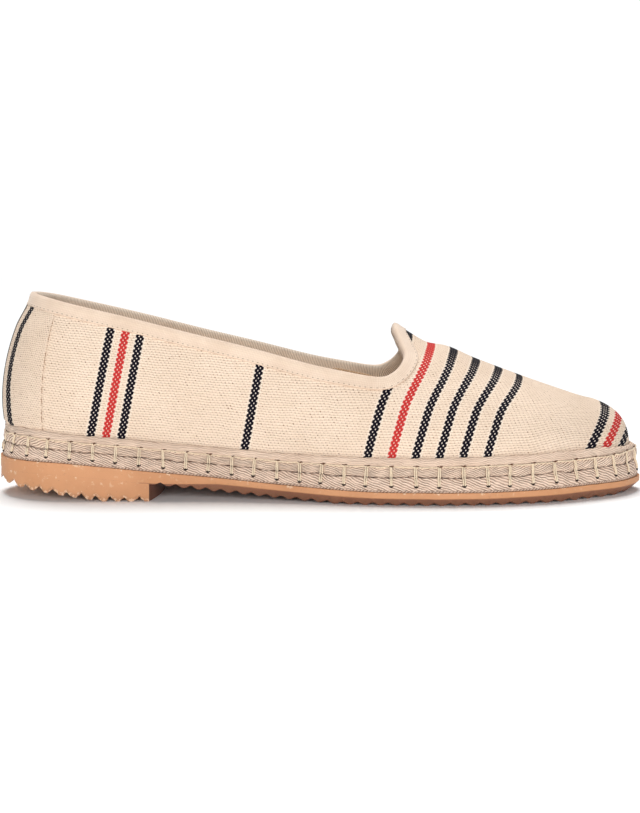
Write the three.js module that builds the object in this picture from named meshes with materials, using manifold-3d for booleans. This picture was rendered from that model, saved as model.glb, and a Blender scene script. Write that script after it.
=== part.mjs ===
// Canvas espadrille slipper, right shoe, standing on its sole.
// Millimetres, +X towards the toe, +Y towards the inner side of the foot, +Z up.
// The pieces are lofted from one table of sections that runs from the back of the heel to the tip of the toe.

import * as THREE from "three";
import Module from "manifold-3d";

const wasm = await Module();
wasm.setup();

// Driving sizes of the shoe
const LENGTH = 256; // outsole, heel to toe
const BALL_WIDTH = 89; // outsole across the ball
const HEEL_WIDTH = 62; // outsole across the heel
const OUTSOLE = 5.2; // rubber sheet under the ball of the foot
const HEEL_RISE = 9.9; // top of the outsole at the heel, above its height at the ball
const TOE_SPRING = 0.7;
const PLATFORM = 13; // taped sole at the ball, from the outsole to the top of the welt
const BACK_HEIGHT = 54.2; // collar at the back, above the foot of the upper
const INSTEP = 45.6; // crest of the vamp behind the ball, above the foot of the upper

// Driving sizes of the pieces
const GAP = 0.3; // between two pieces that touch
const WALL = 1.8; // canvas and lining
const FEATHER_INSET = 3.9; // foot of the upper, in from the edge of the outsole
const WELT_HEIGHT = 3.3; // folded edge of the tape, round the foot of the upper
const TAPE_INSET = 0.4;
const TAPE_LEAN = 1.1; // how far the taped side leans in, up to the welt
const TAPE_RELIEF = 0.5; // how far the two rows of tape bulge
const BAND = 4.5; // width of the collar binding on each face
const BAND_THICKNESS = 0.7;
const BACKSTAY_THICKNESS = 0.6;
const BACKSTAY_REACH = 2.35; // how many sections the backstay spans on each side of the heel
const INSOLE = 2.6;
const PEAK_LIFT = 3.4; // how far the point of the vamp stands off the foot
const PEAK_HALF_WIDTH = 12;
const PEAK_RUN = 14; // length of the vamp that rises to that lift
const TOE_FALL = 0.36; // slope of the crest at the toe
const TOE_SECTION = 10; // section from which that slope builds up
const SIDE_FACE = 2; // upright edge of the outsole, above its bevel
const BEVEL = 3.4; // how far the walking surface stays in from the edge
const HEEL_LENGTH = 62.4; // back of the shoe to the breast of the heel lift
const HEEL_FLAT = 17.4; // part of the heel lift that is flat on the floor, behind the breast
const HEEL_SPRING = 6.3; // how far the back of the heel lift stands off the floor
const BREAST_BULGE = 3; // how far the middle of the breast comes forward
const EDGE = 0.3; // soft lower edge of the rubber
const RIPPLE_PITCH = 5.8; // grooves across the walking surface
const RIPPLE_DEPTH = 1.3;
const RIPPLE_LAND = 1.2; // flat left between two grooves
const RIPPLE_START = 4; // ahead of the sides of the breast
const HEEL_RIPPLE_START = 0.75;
const HEEL_RIPPLE_PITCH = 5.5;
const HEEL_RIPPLE_DEPTH = 1.85;

// Resolution
const SLICES = 4; // stations from one section to the next
const WALL_ROWS = 8;
const HEM_SHARE = 0.9; // last row but one, ahead of the collar
const THROAT_STATIONS = 8;
const BREAST_POINTS = 8;

// A row for each section. along and centre are shares of LENGTH: the section leaves the edge of the sole at along,
// and meets the crest of the upper at centre. lateral, medial and crest are shares of the width that fore picks,
// from 0, the heel's, to 1, the ball's. rise, spring, platform, thick and bevel are shares of HEEL_RISE, TOE_SPRING,
// PLATFORM, OUTSOLE and BEVEL. height is a share of BACK_HEIGHT or INSTEP, again by fore. swell, stand and shoulder
// shape the wall: how far it swells past its foot, how high that pull reaches, and how square its shoulder is.
const COLUMNS = [
  "along", "lateral", "medial", "fore", "rise", "spring", "platform", "thick", "bevel",
  "centre", "crest", "height", "swell", "stand", "shoulder",
];
const SECTIONS = [
  [0.0, 0.0, 0.0, 0.0, 1.0, 0, 1.0, 0.87, 0, 0.1406, 0.0, 1.365, 1.24, 0.4, 0.47],
  [0.0164, 0.25, 0.25, 0.0, 1.0, 0, 0.995, 0.87, 0, 0.1445, 0.0, 1.365, 1.22, 0.4, 0.49],
  [0.0605, 0.429, 0.427, 0.0, 0.99, 0, 0.955, 0.87, 0, 0.16, 0.0, 1.365, 1.15, 0.42, 0.58],
  [0.125, 0.5, 0.492, 0.0, 0.92, 0, 0.87, 0.87, 0, 0.1875, 0.0, 1.365, 1.08, 0.45, 0.68],
  [0.2344, 0.5, 0.46, 0.0, 0.646, 0, 0.9, 0.9, 0, 0.254, 0.0, 1.365, 1.05, 0.5, 0.75],
  [0.3438, 0.417, 0.344, 0.5, 0.394, 0, 0.89, 1.04, 0.6, 0.3477, 0.0, 1.46, 1.04, 0.5, 0.79],
  [0.4531, 0.4045, 0.32, 1.0, 0.16, 0, 0.925, 1.08, 1, 0.4531, 0.0, 1.48, 1.02, 0.52, 0.78],
  [0.5625, 0.483, 0.399, 1.0, 0.02, 0, 0.99, 1.12, 1, 0.5586, 0.008, 1.16, 1.03, 0.58, 0.66],
  [0.6641, 0.511, 0.466, 1.0, 0.0, 0, 1.0, 1.2, 1, 0.6563, 0.017, 0.985, 1.05, 0.66, 0.49],
  [0.7109, 0.506, 0.479, 1.0, 0.0, 0, 1.015, 1.2, 1, 0.6992, 0.021, 0.93, 1.05, 0.67, 0.46],
  [0.7578, 0.489, 0.483, 1.0, 0.0, 0, 1.03, 1.2, 1, 0.7422, 0.025, 0.82, 1.05, 0.68, 0.46],
  [0.8438, 0.421, 0.455, 1.0, 0.0, 0.6, 1.045, 1.3, 1, 0.8164, 0.031, 0.648, 1.04, 0.7, 0.5],
  [0.9102, 0.309, 0.371, 1.0, 0.0, 1, 1.06, 1.3, 1.1, 0.8711, 0.036, 0.532, 1.03, 0.7, 0.55],
  [0.9609, 0.198, 0.264, 1.0, 0.0, 1, 1.1, 1.3, 1.25, 0.9063, 0.04, 0.458, 1.0, 0.64, 0.59],
  [0.9902, 0.07, 0.149, 1.0, 0.0, 1, 1.175, 1.3, 1.4, 0.9258, 0.043, 0.41, 1.0, 0.58, 0.61],
  [1.0, -0.043, 0.043, 1.0, 0.0, 1, 1.2, 1.3, 1.45, 0.9316, 0.043, 0.39, 0.99, 0.55, 0.61],
].map((row) => Object.fromEntries(row.map((value, i) => [COLUMNS[i], value])));

// The collar from the back to the point of the vamp, as it shows from the side: x as a share of LENGTH, and the
// height above the foot of the upper as a share of BACK_HEIGHT (fore 0) or INSTEP (fore 1).
const COLLAR = [
  { along: 0.0, height: 1.005, fore: 0 },
  { along: 0.056, height: 1.0, fore: 0 },
  { along: 0.147, height: 0.945, fore: 0 },
  { along: 0.273, height: 0.854, fore: 0 },
  { along: 0.398, height: 0.762, fore: 0 },
  { along: 0.508, height: 0.654, fore: 0 },
  { along: 0.581, height: 0.711, fore: 1 },
  { along: 0.6115, height: 0.75, fore: 1 },
  { along: 0.63, height: 0.875, fore: 1 },
  { along: 0.6245, height: 0.985, fore: 1 },
  { along: 0.6165, height: 1.09, fore: 1 },
];

const LAST = SECTIONS.length - 1;
const LATERAL = -1; // outer side of the foot, -Y
const MEDIAL = 1;

const mix = THREE.MathUtils.lerp;
const clamp = THREE.MathUtils.clamp;
const smooth = (x) => THREE.MathUtils.smoothstep(x, 0, 1);

// Uniform Catmull-Rom through four values.
function catmullRom(a, b, c, d, u) {
  const m0 = (c - a) / 2;
  const m1 = (d - b) / 2;
  return (
    (2 * b - 2 * c + m0 + m1) * u ** 3 + (3 * c - 3 * b - 2 * m0 - m1) * u ** 2 + m0 * u + b
  );
}

// Root of a rising function by halving.
function solve(rising, low, high) {
  for (let i = 0; i < 32; i++) {
    const mid = (low + high) / 2;
    if (rising(mid) < 0) low = mid;
    else high = mid;
  }
  return (low + high) / 2;
}

// y of a section's edge on one side, from the heel's axis.
const halfWidth = (row, side) =>
  side * (side === LATERAL ? row.lateral : row.medial) * mix(HEEL_WIDTH, BALL_WIDTH, row.fore);

// Rows of the table for one side. Past either end they run on along the other side, so the ends come out round.
const ROWS = Object.fromEntries(
  [LATERAL, MEDIAL].map((side) => {
    const rows = SECTIONS.map((row) => ({ ...row, y: halfWidth(row, side) }));
    const turned = SECTIONS.map((row) => ({ ...row, y: halfWidth(row, -side) }));
    return [side, [turned[1], ...rows, turned[LAST - 1]]];
  }),
);

// One column of the table at section t.
function column(side, key, t) {
  const i = clamp(Math.floor(t), 0, LAST - 1);
  const [a, b, c, d] = ROWS[side].slice(i, i + 4);
  return catmullRom(a[key], b[key], c[key], d[key], t - i);
}

// Keeps what make(side, t) gives, for the many points that share a section.
function remember(make) {
  const known = { [LATERAL]: new Map(), [MEDIAL]: new Map() };
  return (side, t) => {
    if (!known[side].has(t)) known[side].set(t, make(side, t));
    return known[side].get(t);
  };
}

const section = remember((side, t) =>
  Object.fromEntries([...COLUMNS, "y"].map((key) => [key, column(side, key, t)])),
);

// The section that leaves the edge of the sole at x.
const sectionAt = (x) =>
  section(LATERAL, solve((t) => column(LATERAL, "along", t) * LENGTH - x, 0, LAST));

const outsoleTop = (s) => OUTSOLE + HEEL_RISE * s.rise + TOE_SPRING * s.spring;
const outsoleBottom = (s) => Math.max(0, outsoleTop(s) - OUTSOLE * s.thick);
const weltTop = (s) => outsoleTop(s) + PLATFORM * s.platform;
const featherHeight = (s) => weltTop(s) - WELT_HEIGHT; // foot of the upper

// Point of the sole's plan outline, moved in by inset.
function edge(side, t, inset) {
  const step = 0.01;
  const s = section(side, t);
  const [from, to] = [t - step, t + step].map((n) => ({
    x: column(side, "along", n) * LENGTH,
    y: column(side, "y", n),
  }));
  const tangent = new THREE.Vector2(to.x - from.x, to.y - from.y).normalize();
  // The tangent runs from heel to toe, so its left is inwards on the lateral side.
  const inward = new THREE.Vector2(-tangent.y, tangent.x).multiplyScalar(-side);
  return {
    s,
    x: s.along * LENGTH + inward.x * inset,
    y: s.y + inward.y * inset,
  };
}

const footOf = remember((side, t) => edge(side, t, FEATHER_INSET));

const bezier = (p0, p1, p2, p3, b) =>
  p0 * (1 - b) ** 3 + 3 * p1 * b * (1 - b) ** 2 + 3 * p2 * b ** 2 * (1 - b) + p3 * b ** 3;

// Outer face of the upper as if it closed over the whole foot: b runs up the wall of section t, from 0 at its foot
// to 1 at the crest.
function surface(side, t, b) {
  if (t < 0) return surface(-side, -t, b);
  if (t > LAST) return surface(-side, 2 * LAST - t, b);
  const foot = footOf(side, t);
  const { s } = foot;
  const crestX = s.centre * LENGTH;
  const crestY = s.crest * BALL_WIDTH;
  const base = featherHeight(s);
  const height = s.height * mix(BACK_HEIGHT, INSTEP, s.fore);
  const reach = bezier(1, s.swell, s.shoulder, 0, b);
  const shoulderX = s.shoulder * (foot.x - crestX);
  const shoulderZ = base + height - TOE_FALL * Math.max(0, shoulderX) * smooth((t - TOE_SECTION) / 3);
  const x = crestX + reach * (foot.x - crestX);
  const y = crestY + reach * (foot.y - crestY);
  const z = bezier(base, base + s.stand * height, shoulderZ, base + height, b);
  const run = smooth((PEAK_TIP + PEAK_RUN - x) / PEAK_RUN);
  const across = Math.exp(-(((y - crestY) / PEAK_HALF_WIDTH) ** 2));
  return new THREE.Vector3(x, y, z + PEAK_LIFT * run * across * smooth(2 * b - 1));
}

// Outward normal of that face. At the crest it is taken a little below, where both directions are sure.
function normalAt(side, t, b) {
  const step = 0.02;
  const low = clamp(b - step, 0, 1 - 2 * step);
  const alongFoot = surface(side, t + step, low + step).sub(surface(side, t - step, low + step));
  const up = surface(side, t, low + 2 * step).sub(surface(side, t, low));
  return alongFoot.cross(up).normalize().multiplyScalar(-side);
}

// The same, agreed by both sides along the crest
function outward(side, t, b) {
  const normal = normalAt(side, t, b);
  return b > 0.999 ? normal.add(normalAt(-side, t, b)).normalize() : normal;
}

// How far up the wall of section t a height above its foot comes, as b.
const wallAt = (side, t, height) =>
  solve((b) => surface(side, t, b).z - featherHeight(section(side, t)) - height, 0, 1);

// Walks over the face from (t, b) in a direction, to (t, b) at that distance.
function walk(side, start, direction, distance) {
  const steps = 4;
  const e = 0.01;
  let [t, b] = start;
  for (let i = 0; i < steps; i++) {
    const here = surface(side, t, b);
    const sign = b > 1 - e ? -1 : 1;
    const dt = surface(side, t + e, b).sub(here).divideScalar(e);
    const db = surface(side, t, b + sign * e).sub(here).divideScalar(sign * e);
    const [a, c, d] = [dt.dot(dt), dt.dot(db), db.dot(db)];
    const move = direction.clone().multiplyScalar(distance / steps);
    const [m, n] = [dt.dot(move), db.dot(move)];
    const det = a * d - c * c;
    t += (d * m - c * n) / det;
    b = clamp(b + (a * n - c * m) / det, 0, 1);
  }
  return [t, b];
}

// The collar in the side view, at row q of its table.
function collarPoint(q) {
  const i = clamp(Math.floor(q), 0, COLLAR.length - 2);
  const row = (n) => COLLAR[clamp(n, 0, COLLAR.length - 1)];
  const value = (key) =>
    catmullRom(row(i - 1)[key], row(i)[key], row(i + 1)[key], row(i + 2)[key], q - i);
  const x = value("along") * LENGTH;
  const rise = value("height") * mix(BACK_HEIGHT, INSTEP, value("fore"));
  return new THREE.Vector2(x, featherHeight(sectionAt(x)) + rise);
}

const COLLAR_REAR = 6; // row of the collar table past which x no longer rises with every step
const REAR_STEPS = 90;
const REAR_COLLAR = Array.from({ length: REAR_STEPS + 1 }, (_, i) =>
  collarPoint((COLLAR_REAR * i) / REAR_STEPS),
);

// Height of the rear part of the collar at x, in the side view.
function rearHeight(x) {
  const i = clamp(REAR_COLLAR.findIndex((p) => p.x > x), 1, REAR_STEPS);
  const [a, b] = [REAR_COLLAR[i - 1], REAR_COLLAR[i]];
  return mix(a.y, b.y, (x - a.x) / (b.x - a.x));
}

const PEAK_TIP = COLLAR.at(-1).along * LENGTH;
const THROAT_START = 7; // section where the collar stops following the sections
const RIM_STATION = THROAT_START * SLICES + THROAT_STATIONS; // the point of the vamp
const STATIONS = LAST * SLICES; // along one side
const LOOP = 2 * STATIONS; // round the shoe

// Where section t of one side meets the rear of the collar.
function rearRim(side, t) {
  const above = (b) => {
    const p = surface(side, t, b);
    return p.z - rearHeight(p.x);
  };
  return [t, solve(above, 0, 1)];
}

// The (t, b) of a point given by its x and z.
function locate(side, x, z) {
  const bAt = (t) => solve((b) => surface(side, t, b).z - z, 0, 1);
  const t = solve((n) => surface(side, n, bAt(n)).x - x, THROAT_START - 1, THROAT_START + 3);
  return [t, bAt(t)];
}

// Rows of the collar table at equal steps along it, from the throat's start to the point.
function throatRows(side) {
  const start = surface(side, ...rearRim(side, THROAT_START)).x;
  const from = solve((n) => collarPoint(n).x - start, 0, COLLAR_REAR);
  const to = COLLAR.length - 1;
  const fine = Array.from({ length: 121 }, (_, i) => mix(from, to, i / 120));
  const run = [0];
  fine.slice(1).forEach((q, i) => {
    const [a, b] = [collarPoint(fine[i]), collarPoint(q)];
    run.push(run[i] + a.distanceTo(b));
  });
  return Array.from({ length: THROAT_STATIONS }, (_, i) => {
    const want = (run.at(-1) * (i + 1)) / THROAT_STATIONS;
    return fine[run.findIndex((r) => r >= want - 1e-6)];
  });
}

// Top (t, b) of each station of one side: the collar as far as the point, then the crest.
function topBoundary(side) {
  const rear = Array.from({ length: THROAT_START * SLICES + 1 }, (_, i) =>
    rearRim(side, i / SLICES),
  );
  const tipT = solve((n) => surface(side, n, 1).x - PEAK_TIP, THROAT_START - 1, LAST);
  const throat = throatRows(side).map((q, i) => {
    const p = collarPoint(q);
    return i === THROAT_STATIONS - 1 ? [tipT, 1] : locate(side, p.x, p.y);
  });
  const ahead = STATIONS - RIM_STATION;
  const crest = Array.from({ length: ahead }, (_, i) => [mix(tipT, LAST, (i + 1) / ahead), 1]);
  return [...rear, ...throat, ...crest];
}

// Solids from vertices and triangles
const material = (color, roughness) => new THREE.MeshStandardMaterial({ color, roughness });
const CANVAS = material("#f0dcc2", 0.92);
const BINDING = material("#f4ddc7", 0.9);
const TAPE = material("#d4b295", 0.92);
const FOOTBED = material("#d9c6ac", 0.85);
const RUBBER = material("#d49b73", 0.6);

function manifoldOf(points, triangles) {
  const vertProperties = new Float32Array(points.flatMap((p) => [p.x, p.y, p.z]));
  const triVerts = new Uint32Array(triangles.flat());
  return new wasm.Manifold(new wasm.Mesh({ numProp: 3, vertProperties, triVerts }));
}

function node(name, solid, finish) {
  const made = solid.getMesh();
  const geometry = new THREE.BufferGeometry()
    .setAttribute("position", new THREE.BufferAttribute(made.vertProperties, 3))
    .setIndex(new THREE.BufferAttribute(made.triVerts, 1));
  geometry.computeVertexNormals();
  const mesh = new THREE.Mesh(geometry, finish);
  mesh.name = name;
  return mesh;
}

const quad = (a, b, c, d) => [[a, b, c], [a, c, d]];

// Calls make(side, t, i) at each station, down the lateral side to the toe and back up the medial side.
const around = (make) =>
  Array.from({ length: LOOP }, (_, k) => {
    const side = k <= STATIONS ? LATERAL : MEDIAL;
    const i = k <= STATIONS ? k : LOOP - k;
    return make(side, i / SLICES, i);
  });

// A solid stacked from loops round the shoe, lowest first, and closed by a lid across each end.
function stack(loops) {
  const id = (level, k) => level * LOOP + (k % LOOP);
  const triangles = [];
  for (let level = 0; level < loops.length - 1; level++)
    for (let k = 0; k < LOOP; k++)
      triangles.push(
        ...quad(id(level, k), id(level, k + 1), id(level + 1, k + 1), id(level + 1, k)),
      );
  const lid = (level, flip) => {
    for (let i = 0; i < STATIONS; i++) {
      const [a, b, c, d] = [i, i + 1, LOOP - i - 1, LOOP - i].map((k) => id(level, k));
      const faces = [[a, b, c], [a, c, d]].filter((f) => new Set(f).size === 3);
      triangles.push(...faces.map((f) => (flip ? [...f].reverse() : f)));
    }
  };
  lid(0, true);
  lid(loops.length - 1, false);
  return manifoldOf(loops.flat(), triangles);
}

// A closed ring swept from one cross-section per station, each listed anticlockwise as seen along the ring.
function ring(sections) {
  const [n, m] = [sections.length, sections[0].length];
  const id = (k, j) => (k % n) * m + (j % m);
  const triangles = [];
  for (let k = 0; k < n; k++)
    for (let j = 0; j < m; j++)
      triangles.push(...quad(id(k, j), id(k + 1, j), id(k + 1, j + 1), id(k, j + 1)));
  return manifoldOf(sections.flat(), triangles);
}

// A sheet between two faces: grids of points, columns along +t of the lateral side, rows rising.
function sheet(outer, inner) {
  const [n, m] = [outer.length, outer[0].length];
  const id = (layer, k, j) => layer * n * m + k * m + j;
  const triangles = [];
  for (let k = 0; k < n - 1; k++) {
    for (let j = 0; j < m - 1; j++) {
      triangles.push(...quad(id(0, k, j), id(0, k + 1, j), id(0, k + 1, j + 1), id(0, k, j + 1)));
      triangles.push(...quad(id(1, k, j), id(1, k, j + 1), id(1, k + 1, j + 1), id(1, k + 1, j)));
    }
    triangles.push(...quad(id(1, k, 0), id(1, k + 1, 0), id(0, k + 1, 0), id(0, k, 0)));
    const top = m - 1;
    triangles.push(...quad(id(0, k, top), id(0, k + 1, top), id(1, k + 1, top), id(1, k, top)));
  }
  for (let j = 0; j < m - 1; j++) {
    const end = n - 1;
    triangles.push(...quad(id(1, 0, j), id(0, 0, j), id(0, 0, j + 1), id(1, 0, j + 1)));
    triangles.push(...quad(id(0, end, j), id(1, end, j), id(1, end, j + 1), id(0, end, j + 1)));
  }
  return manifoldOf([...outer.flat(), ...inner.flat()], triangles);
}

// A solid as wide as the shoe, from its outline in the side view.
function sideCut(points) {
  const shape = new THREE.Shape(points.map(([x, z]) => new THREE.Vector2(x, z)));
  const geometry = new THREE.ExtrudeGeometry(shape, { depth: 2 * LENGTH, bevelEnabled: false });
  geometry.rotateX(Math.PI / 2).translate(0, LENGTH, 0);
  return fromGeometry(geometry);
}

function planCut(points, height) {
  const shape = new THREE.Shape(points.map(([x, y]) => new THREE.Vector2(x, y)));
  return fromGeometry(new THREE.ExtrudeGeometry(shape, { depth: height, bevelEnabled: false }));
}

function fromGeometry(geometry) {
  const position = geometry.getAttribute("position");
  const ids = new Map();
  const points = [];
  const corner = (i) => {
    const p = new THREE.Vector3().fromBufferAttribute(position, i);
    const key = p.toArray().map((v) => v.toFixed(4)).join();
    if (!ids.has(key)) {
      ids.set(key, points.length);
      points.push(p);
    }
    return ids.get(key);
  };
  const triangles = Array.from({ length: position.count / 3 }, (_, i) =>
    [3 * i, 3 * i + 1, 3 * i + 2].map(corner),
  );
  return manifoldOf(points, triangles);
}

const BOUNDARY = { [LATERAL]: topBoundary(LATERAL), [MEDIAL]: topBoundary(MEDIAL) };

// The rim's stations in order, from the point down the medial side, round the heel and back up the lateral side.
const RIM = [
  ...Array.from({ length: RIM_STATION }, (_, i) => [MEDIAL, RIM_STATION - i]),
  ...Array.from({ length: RIM_STATION }, (_, i) => [LATERAL, i]),
].map(([side, station]) => ({ side, station, start: BOUNDARY[side][station] }));

// Direction across the collar and down the face, at each station of the rim.
function rimFrames() {
  const spots = RIM.map(({ side, start }) => surface(side, ...start));
  return RIM.map(({ side, station, start }, k) => {
    const ahead = spots[(k + 1) % spots.length];
    const behind = spots[(k + spots.length - 1) % spots.length];
    const along = ahead.clone().sub(behind).normalize();
    const normal = outward(side, ...start);
    const down = along.clone().cross(normal).normalize();
    return { side, station, start, spot: spots[k], normal, down };
  });
}
const FRAMES = rimFrames();

// Row of the upper that runs under the hem of the collar binding, and on towards the toe
const HEM = Object.fromEntries(
  [LATERAL, MEDIAL].map((side) => [
    side,
    BOUNDARY[side].map(([t, b], i) => {
      if (i > RIM_STATION) return [mix(i / SLICES, t, HEM_SHARE), b * HEM_SHARE];
      const shared = i === 0 || i === RIM_STATION;
      const { start, down } = FRAMES.find((f) => f.station === i && (f.side === side || shared));
      const hem = walk(side, start, down, BAND);
      return i === RIM_STATION ? [hem[0], 1] : hem;
    }),
  ]),
);

// Upper: canvas from the foot to the collar and the crest, open at the collar and underneath
function upper() {
  const grid = around((side, t, i) => {
    const [topT, topB] = BOUNDARY[side][i];
    const [hemT, hemB] = HEM[side][i];
    return Array.from({ length: WALL_ROWS + 1 }, (_, j) => {
      const share = j / (WALL_ROWS - 1);
      const [u, b] = j === WALL_ROWS ? [topT, topB] : [mix(t, hemT, share), hemB * share];
      const normal = outward(side, u, b);
      const outer = surface(side, u, b);
      const inner = outer.clone().addScaledVector(normal, -WALL);
      if (j === 0) inner.z = outer.z;
      return { outer, inner };
    });
  });
  const rows = WALL_ROWS + 1;
  const layer = LOOP * rows;
  const triangles = [];
  for (let k = 0; k < LOOP; k++) {
    const onRim = k < RIM_STATION || k >= LOOP - RIM_STATION;
    // Both sides share the points of the crest, which runs on from the hem at the point of the vamp.
    const id = (k, j) => {
      const n = k % LOOP;
      const station = Math.min(n, LOOP - n);
      const row = !onRim && station === RIM_STATION ? Math.min(j, WALL_ROWS - 1) : j;
      const lowest = station === RIM_STATION ? WALL_ROWS - 1 : WALL_ROWS;
      const onCrest = station >= RIM_STATION && row >= lowest;
      return (onCrest ? station : n) * rows + row;
    };
    const inside = (k, j) => layer + id(k, j);
    const faces = [quad(inside(k, 0), inside(k + 1, 0), id(k + 1, 0), id(k, 0))];
    for (let j = 0; j < WALL_ROWS; j++) {
      faces.push(quad(id(k, j), id(k + 1, j), id(k + 1, j + 1), id(k, j + 1)));
      faces.push(quad(inside(k, j), inside(k, j + 1), inside(k + 1, j + 1), inside(k + 1, j)));
    }
    const top = WALL_ROWS;
    if (onRim) faces.push(quad(id(k, top), id(k + 1, top), inside(k + 1, top), inside(k, top)));
    triangles.push(...faces.flat().filter((corners) => new Set(corners).size === 3));
  }
  const points = [...grid.flat().map((p) => p.outer), ...grid.flat().map((p) => p.inner)];
  return manifoldOf(points, triangles);
}

// Collar binding: one strip folded over the rim, on both faces of the canvas
function collarBinding() {
  const sections = FRAMES.map(({ side, station, spot, normal, down }) => {
    const hem = surface(side, ...HEM[side][station]);
    const hemNormal = outward(side, ...HEM[side][station]);
    const out = (p, n, d) => p.clone().addScaledVector(n, d);
    const top = out(spot, down, -GAP);
    const far = GAP + BAND_THICKNESS;
    const fold = out(out(spot, normal, -WALL / 2), down, -far);
    return [
      out(hem, hemNormal, far),
      out(hem, hemNormal, GAP),
      out(top, normal, GAP),
      out(top, normal, -WALL - GAP),
      out(hem, hemNormal, -WALL - GAP),
      out(hem, hemNormal, -WALL - far),
      out(top, normal, -WALL - far),
      fold,
      out(top, normal, far),
    ].reverse();
  });
  return ring(sections);
}

// Backstay: a panel over the back of the heel, from the welt to the binding
function backstay() {
  const columns = 2 * Math.round(BACKSTAY_REACH * SLICES) + 1;
  const rows = 6;
  const face = (offset) =>
    Array.from({ length: columns }, (_, k) => {
      const across = mix(-BACKSTAY_REACH, BACKSTAY_REACH, k / (columns - 1));
      const side = across < 0 ? MEDIAL : LATERAL;
      const t = Math.abs(across);
      const rim = rearRim(side, t);
      const down = surface(side, t, rim[1] - 0.01).sub(surface(side, ...rim)).normalize();
      const [topT, topB] = walk(side, rim, down, (BAND + 2 * GAP) * 1.05);
      const clear = featherHeight(section(side, t)) + WELT_HEIGHT + GAP;
      const lowB = solve((b) => surface(side, t, b).z - clear, 0, 1);
      return Array.from({ length: rows }, (_, j) => {
        const share = j / (rows - 1);
        const [u, b] = [mix(t, topT, share), mix(lowB, topB, share)];
        return surface(side, u, b).addScaledVector(normalAt(side, u, b), offset);
      });
    });
  return sheet(face(GAP + BACKSTAY_THICKNESS), face(GAP));
}

// Welt: the folded top edge of the tape, between the edge of the sole and the foot of the upper
function welt() {
  const sections = around((side, t) => {
    const { s, x, y } = edge(side, t, TAPE_INSET + TAPE_LEAN + TAPE_RELIEF / 2);
    const inner = (height) => {
      const b = wallAt(side, t, height);
      const p = surface(side, t, b).addScaledVector(normalAt(side, t, b), GAP);
      return p.setZ(featherHeight(s) + height);
    };
    const foot = inner(0);
    const lip = inner(WELT_HEIGHT * 0.9);
    const outer = (share, height) =>
      new THREE.Vector3(mix(x, lip.x, share), mix(y, lip.y, share), featherHeight(s) + height);
    return [
      outer(0, 0),
      outer(0, WELT_HEIGHT * 0.7),
      outer(0.45, WELT_HEIGHT),
      lip,
      foot,
    ];
  });
  return ring(sections);
}

// A loop round the shoe, a distance in from its edge, with its height from the section
const loopAt = (inset, height) =>
  around((side, t) => {
    const distance = inset instanceof Function ? inset(section(side, t)) : inset;
    const { s, x, y } = edge(side, t, distance);
    return new THREE.Vector3(x, y, height(s));
  });

// Midsole: the taped platform, its side in two rows of tape with a groove between them
function midsole() {
  const level = (share, inset) =>
    loopAt(inset, (s) => {
      const bottom = outsoleTop(s) + GAP;
      return mix(bottom, featherHeight(s) - GAP, share);
    });
  return stack([
    level(0, TAPE_INSET + TAPE_RELIEF),
    level(0.22, TAPE_INSET),
    level(0.46, TAPE_INSET + 0.3 * TAPE_LEAN + TAPE_RELIEF),
    level(0.74, TAPE_INSET + 0.6 * TAPE_LEAN),
    level(1, TAPE_INSET + TAPE_LEAN + TAPE_RELIEF),
  ]);
}

// Insole: the footbed, inside the upper and on the midsole
function insole() {
  const round = 0.35 * INSOLE;
  const level = (height, inset) =>
    around((side, t) => {
      const b = wallAt(side, t, height);
      const p = surface(side, t, b).addScaledVector(normalAt(side, t, b), -WALL - GAP - inset);
      return p.setZ(featherHeight(section(side, t)) + height);
    });
  return stack([level(0, 0), level(INSOLE - round, 0), level(INSOLE, 1.6 * round)]);
}

// Grooves across a walking surface from one length to another, as solids to cut away; ground gives its height.
function ripples(from, to, pitch, depth, ground) {
  const half = (pitch - RIPPLE_LAND) / 2;
  const past = 1.4; // each cut starts below the ground, at the same slope
  const cuts = Array.from({ length: Math.floor((to - from) / pitch) }, (_, i) => {
    const x = from + (i + 0.5) * pitch;
    const foot = (side) => [x + side * half * past, ground(x + side * half) - depth * (past - 1)];
    return sideCut([foot(-1), foot(1), [x, ground(x) + depth]]);
  });
  return wasm.Manifold.union(cuts);
}

// Outsole: a rubber sheet, upright at the heel and bevelled from the waist forward, with ripples underneath
function outsole() {
  const inset = (s) => Math.max(EDGE, BEVEL * s.bevel);
  const upright = (s) => clamp(1.6 * s.bevel, 0, 1);
  const sideFoot = (s) =>
    mix(outsoleBottom(s) + EDGE, outsoleTop(s) - SIDE_FACE, upright(s));
  const blank = stack([loopAt(inset, outsoleBottom), loopAt(0, sideFoot), loopAt(0, outsoleTop)]);
  const from = HEEL_LENGTH + RIPPLE_START;
  const to = LENGTH - inset(SECTIONS[LAST]);
  const ground = (x) => outsoleBottom(sectionAt(x));
  return blank.subtract(ripples(from, to, RIPPLE_PITCH, RIPPLE_DEPTH, ground));
}

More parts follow.
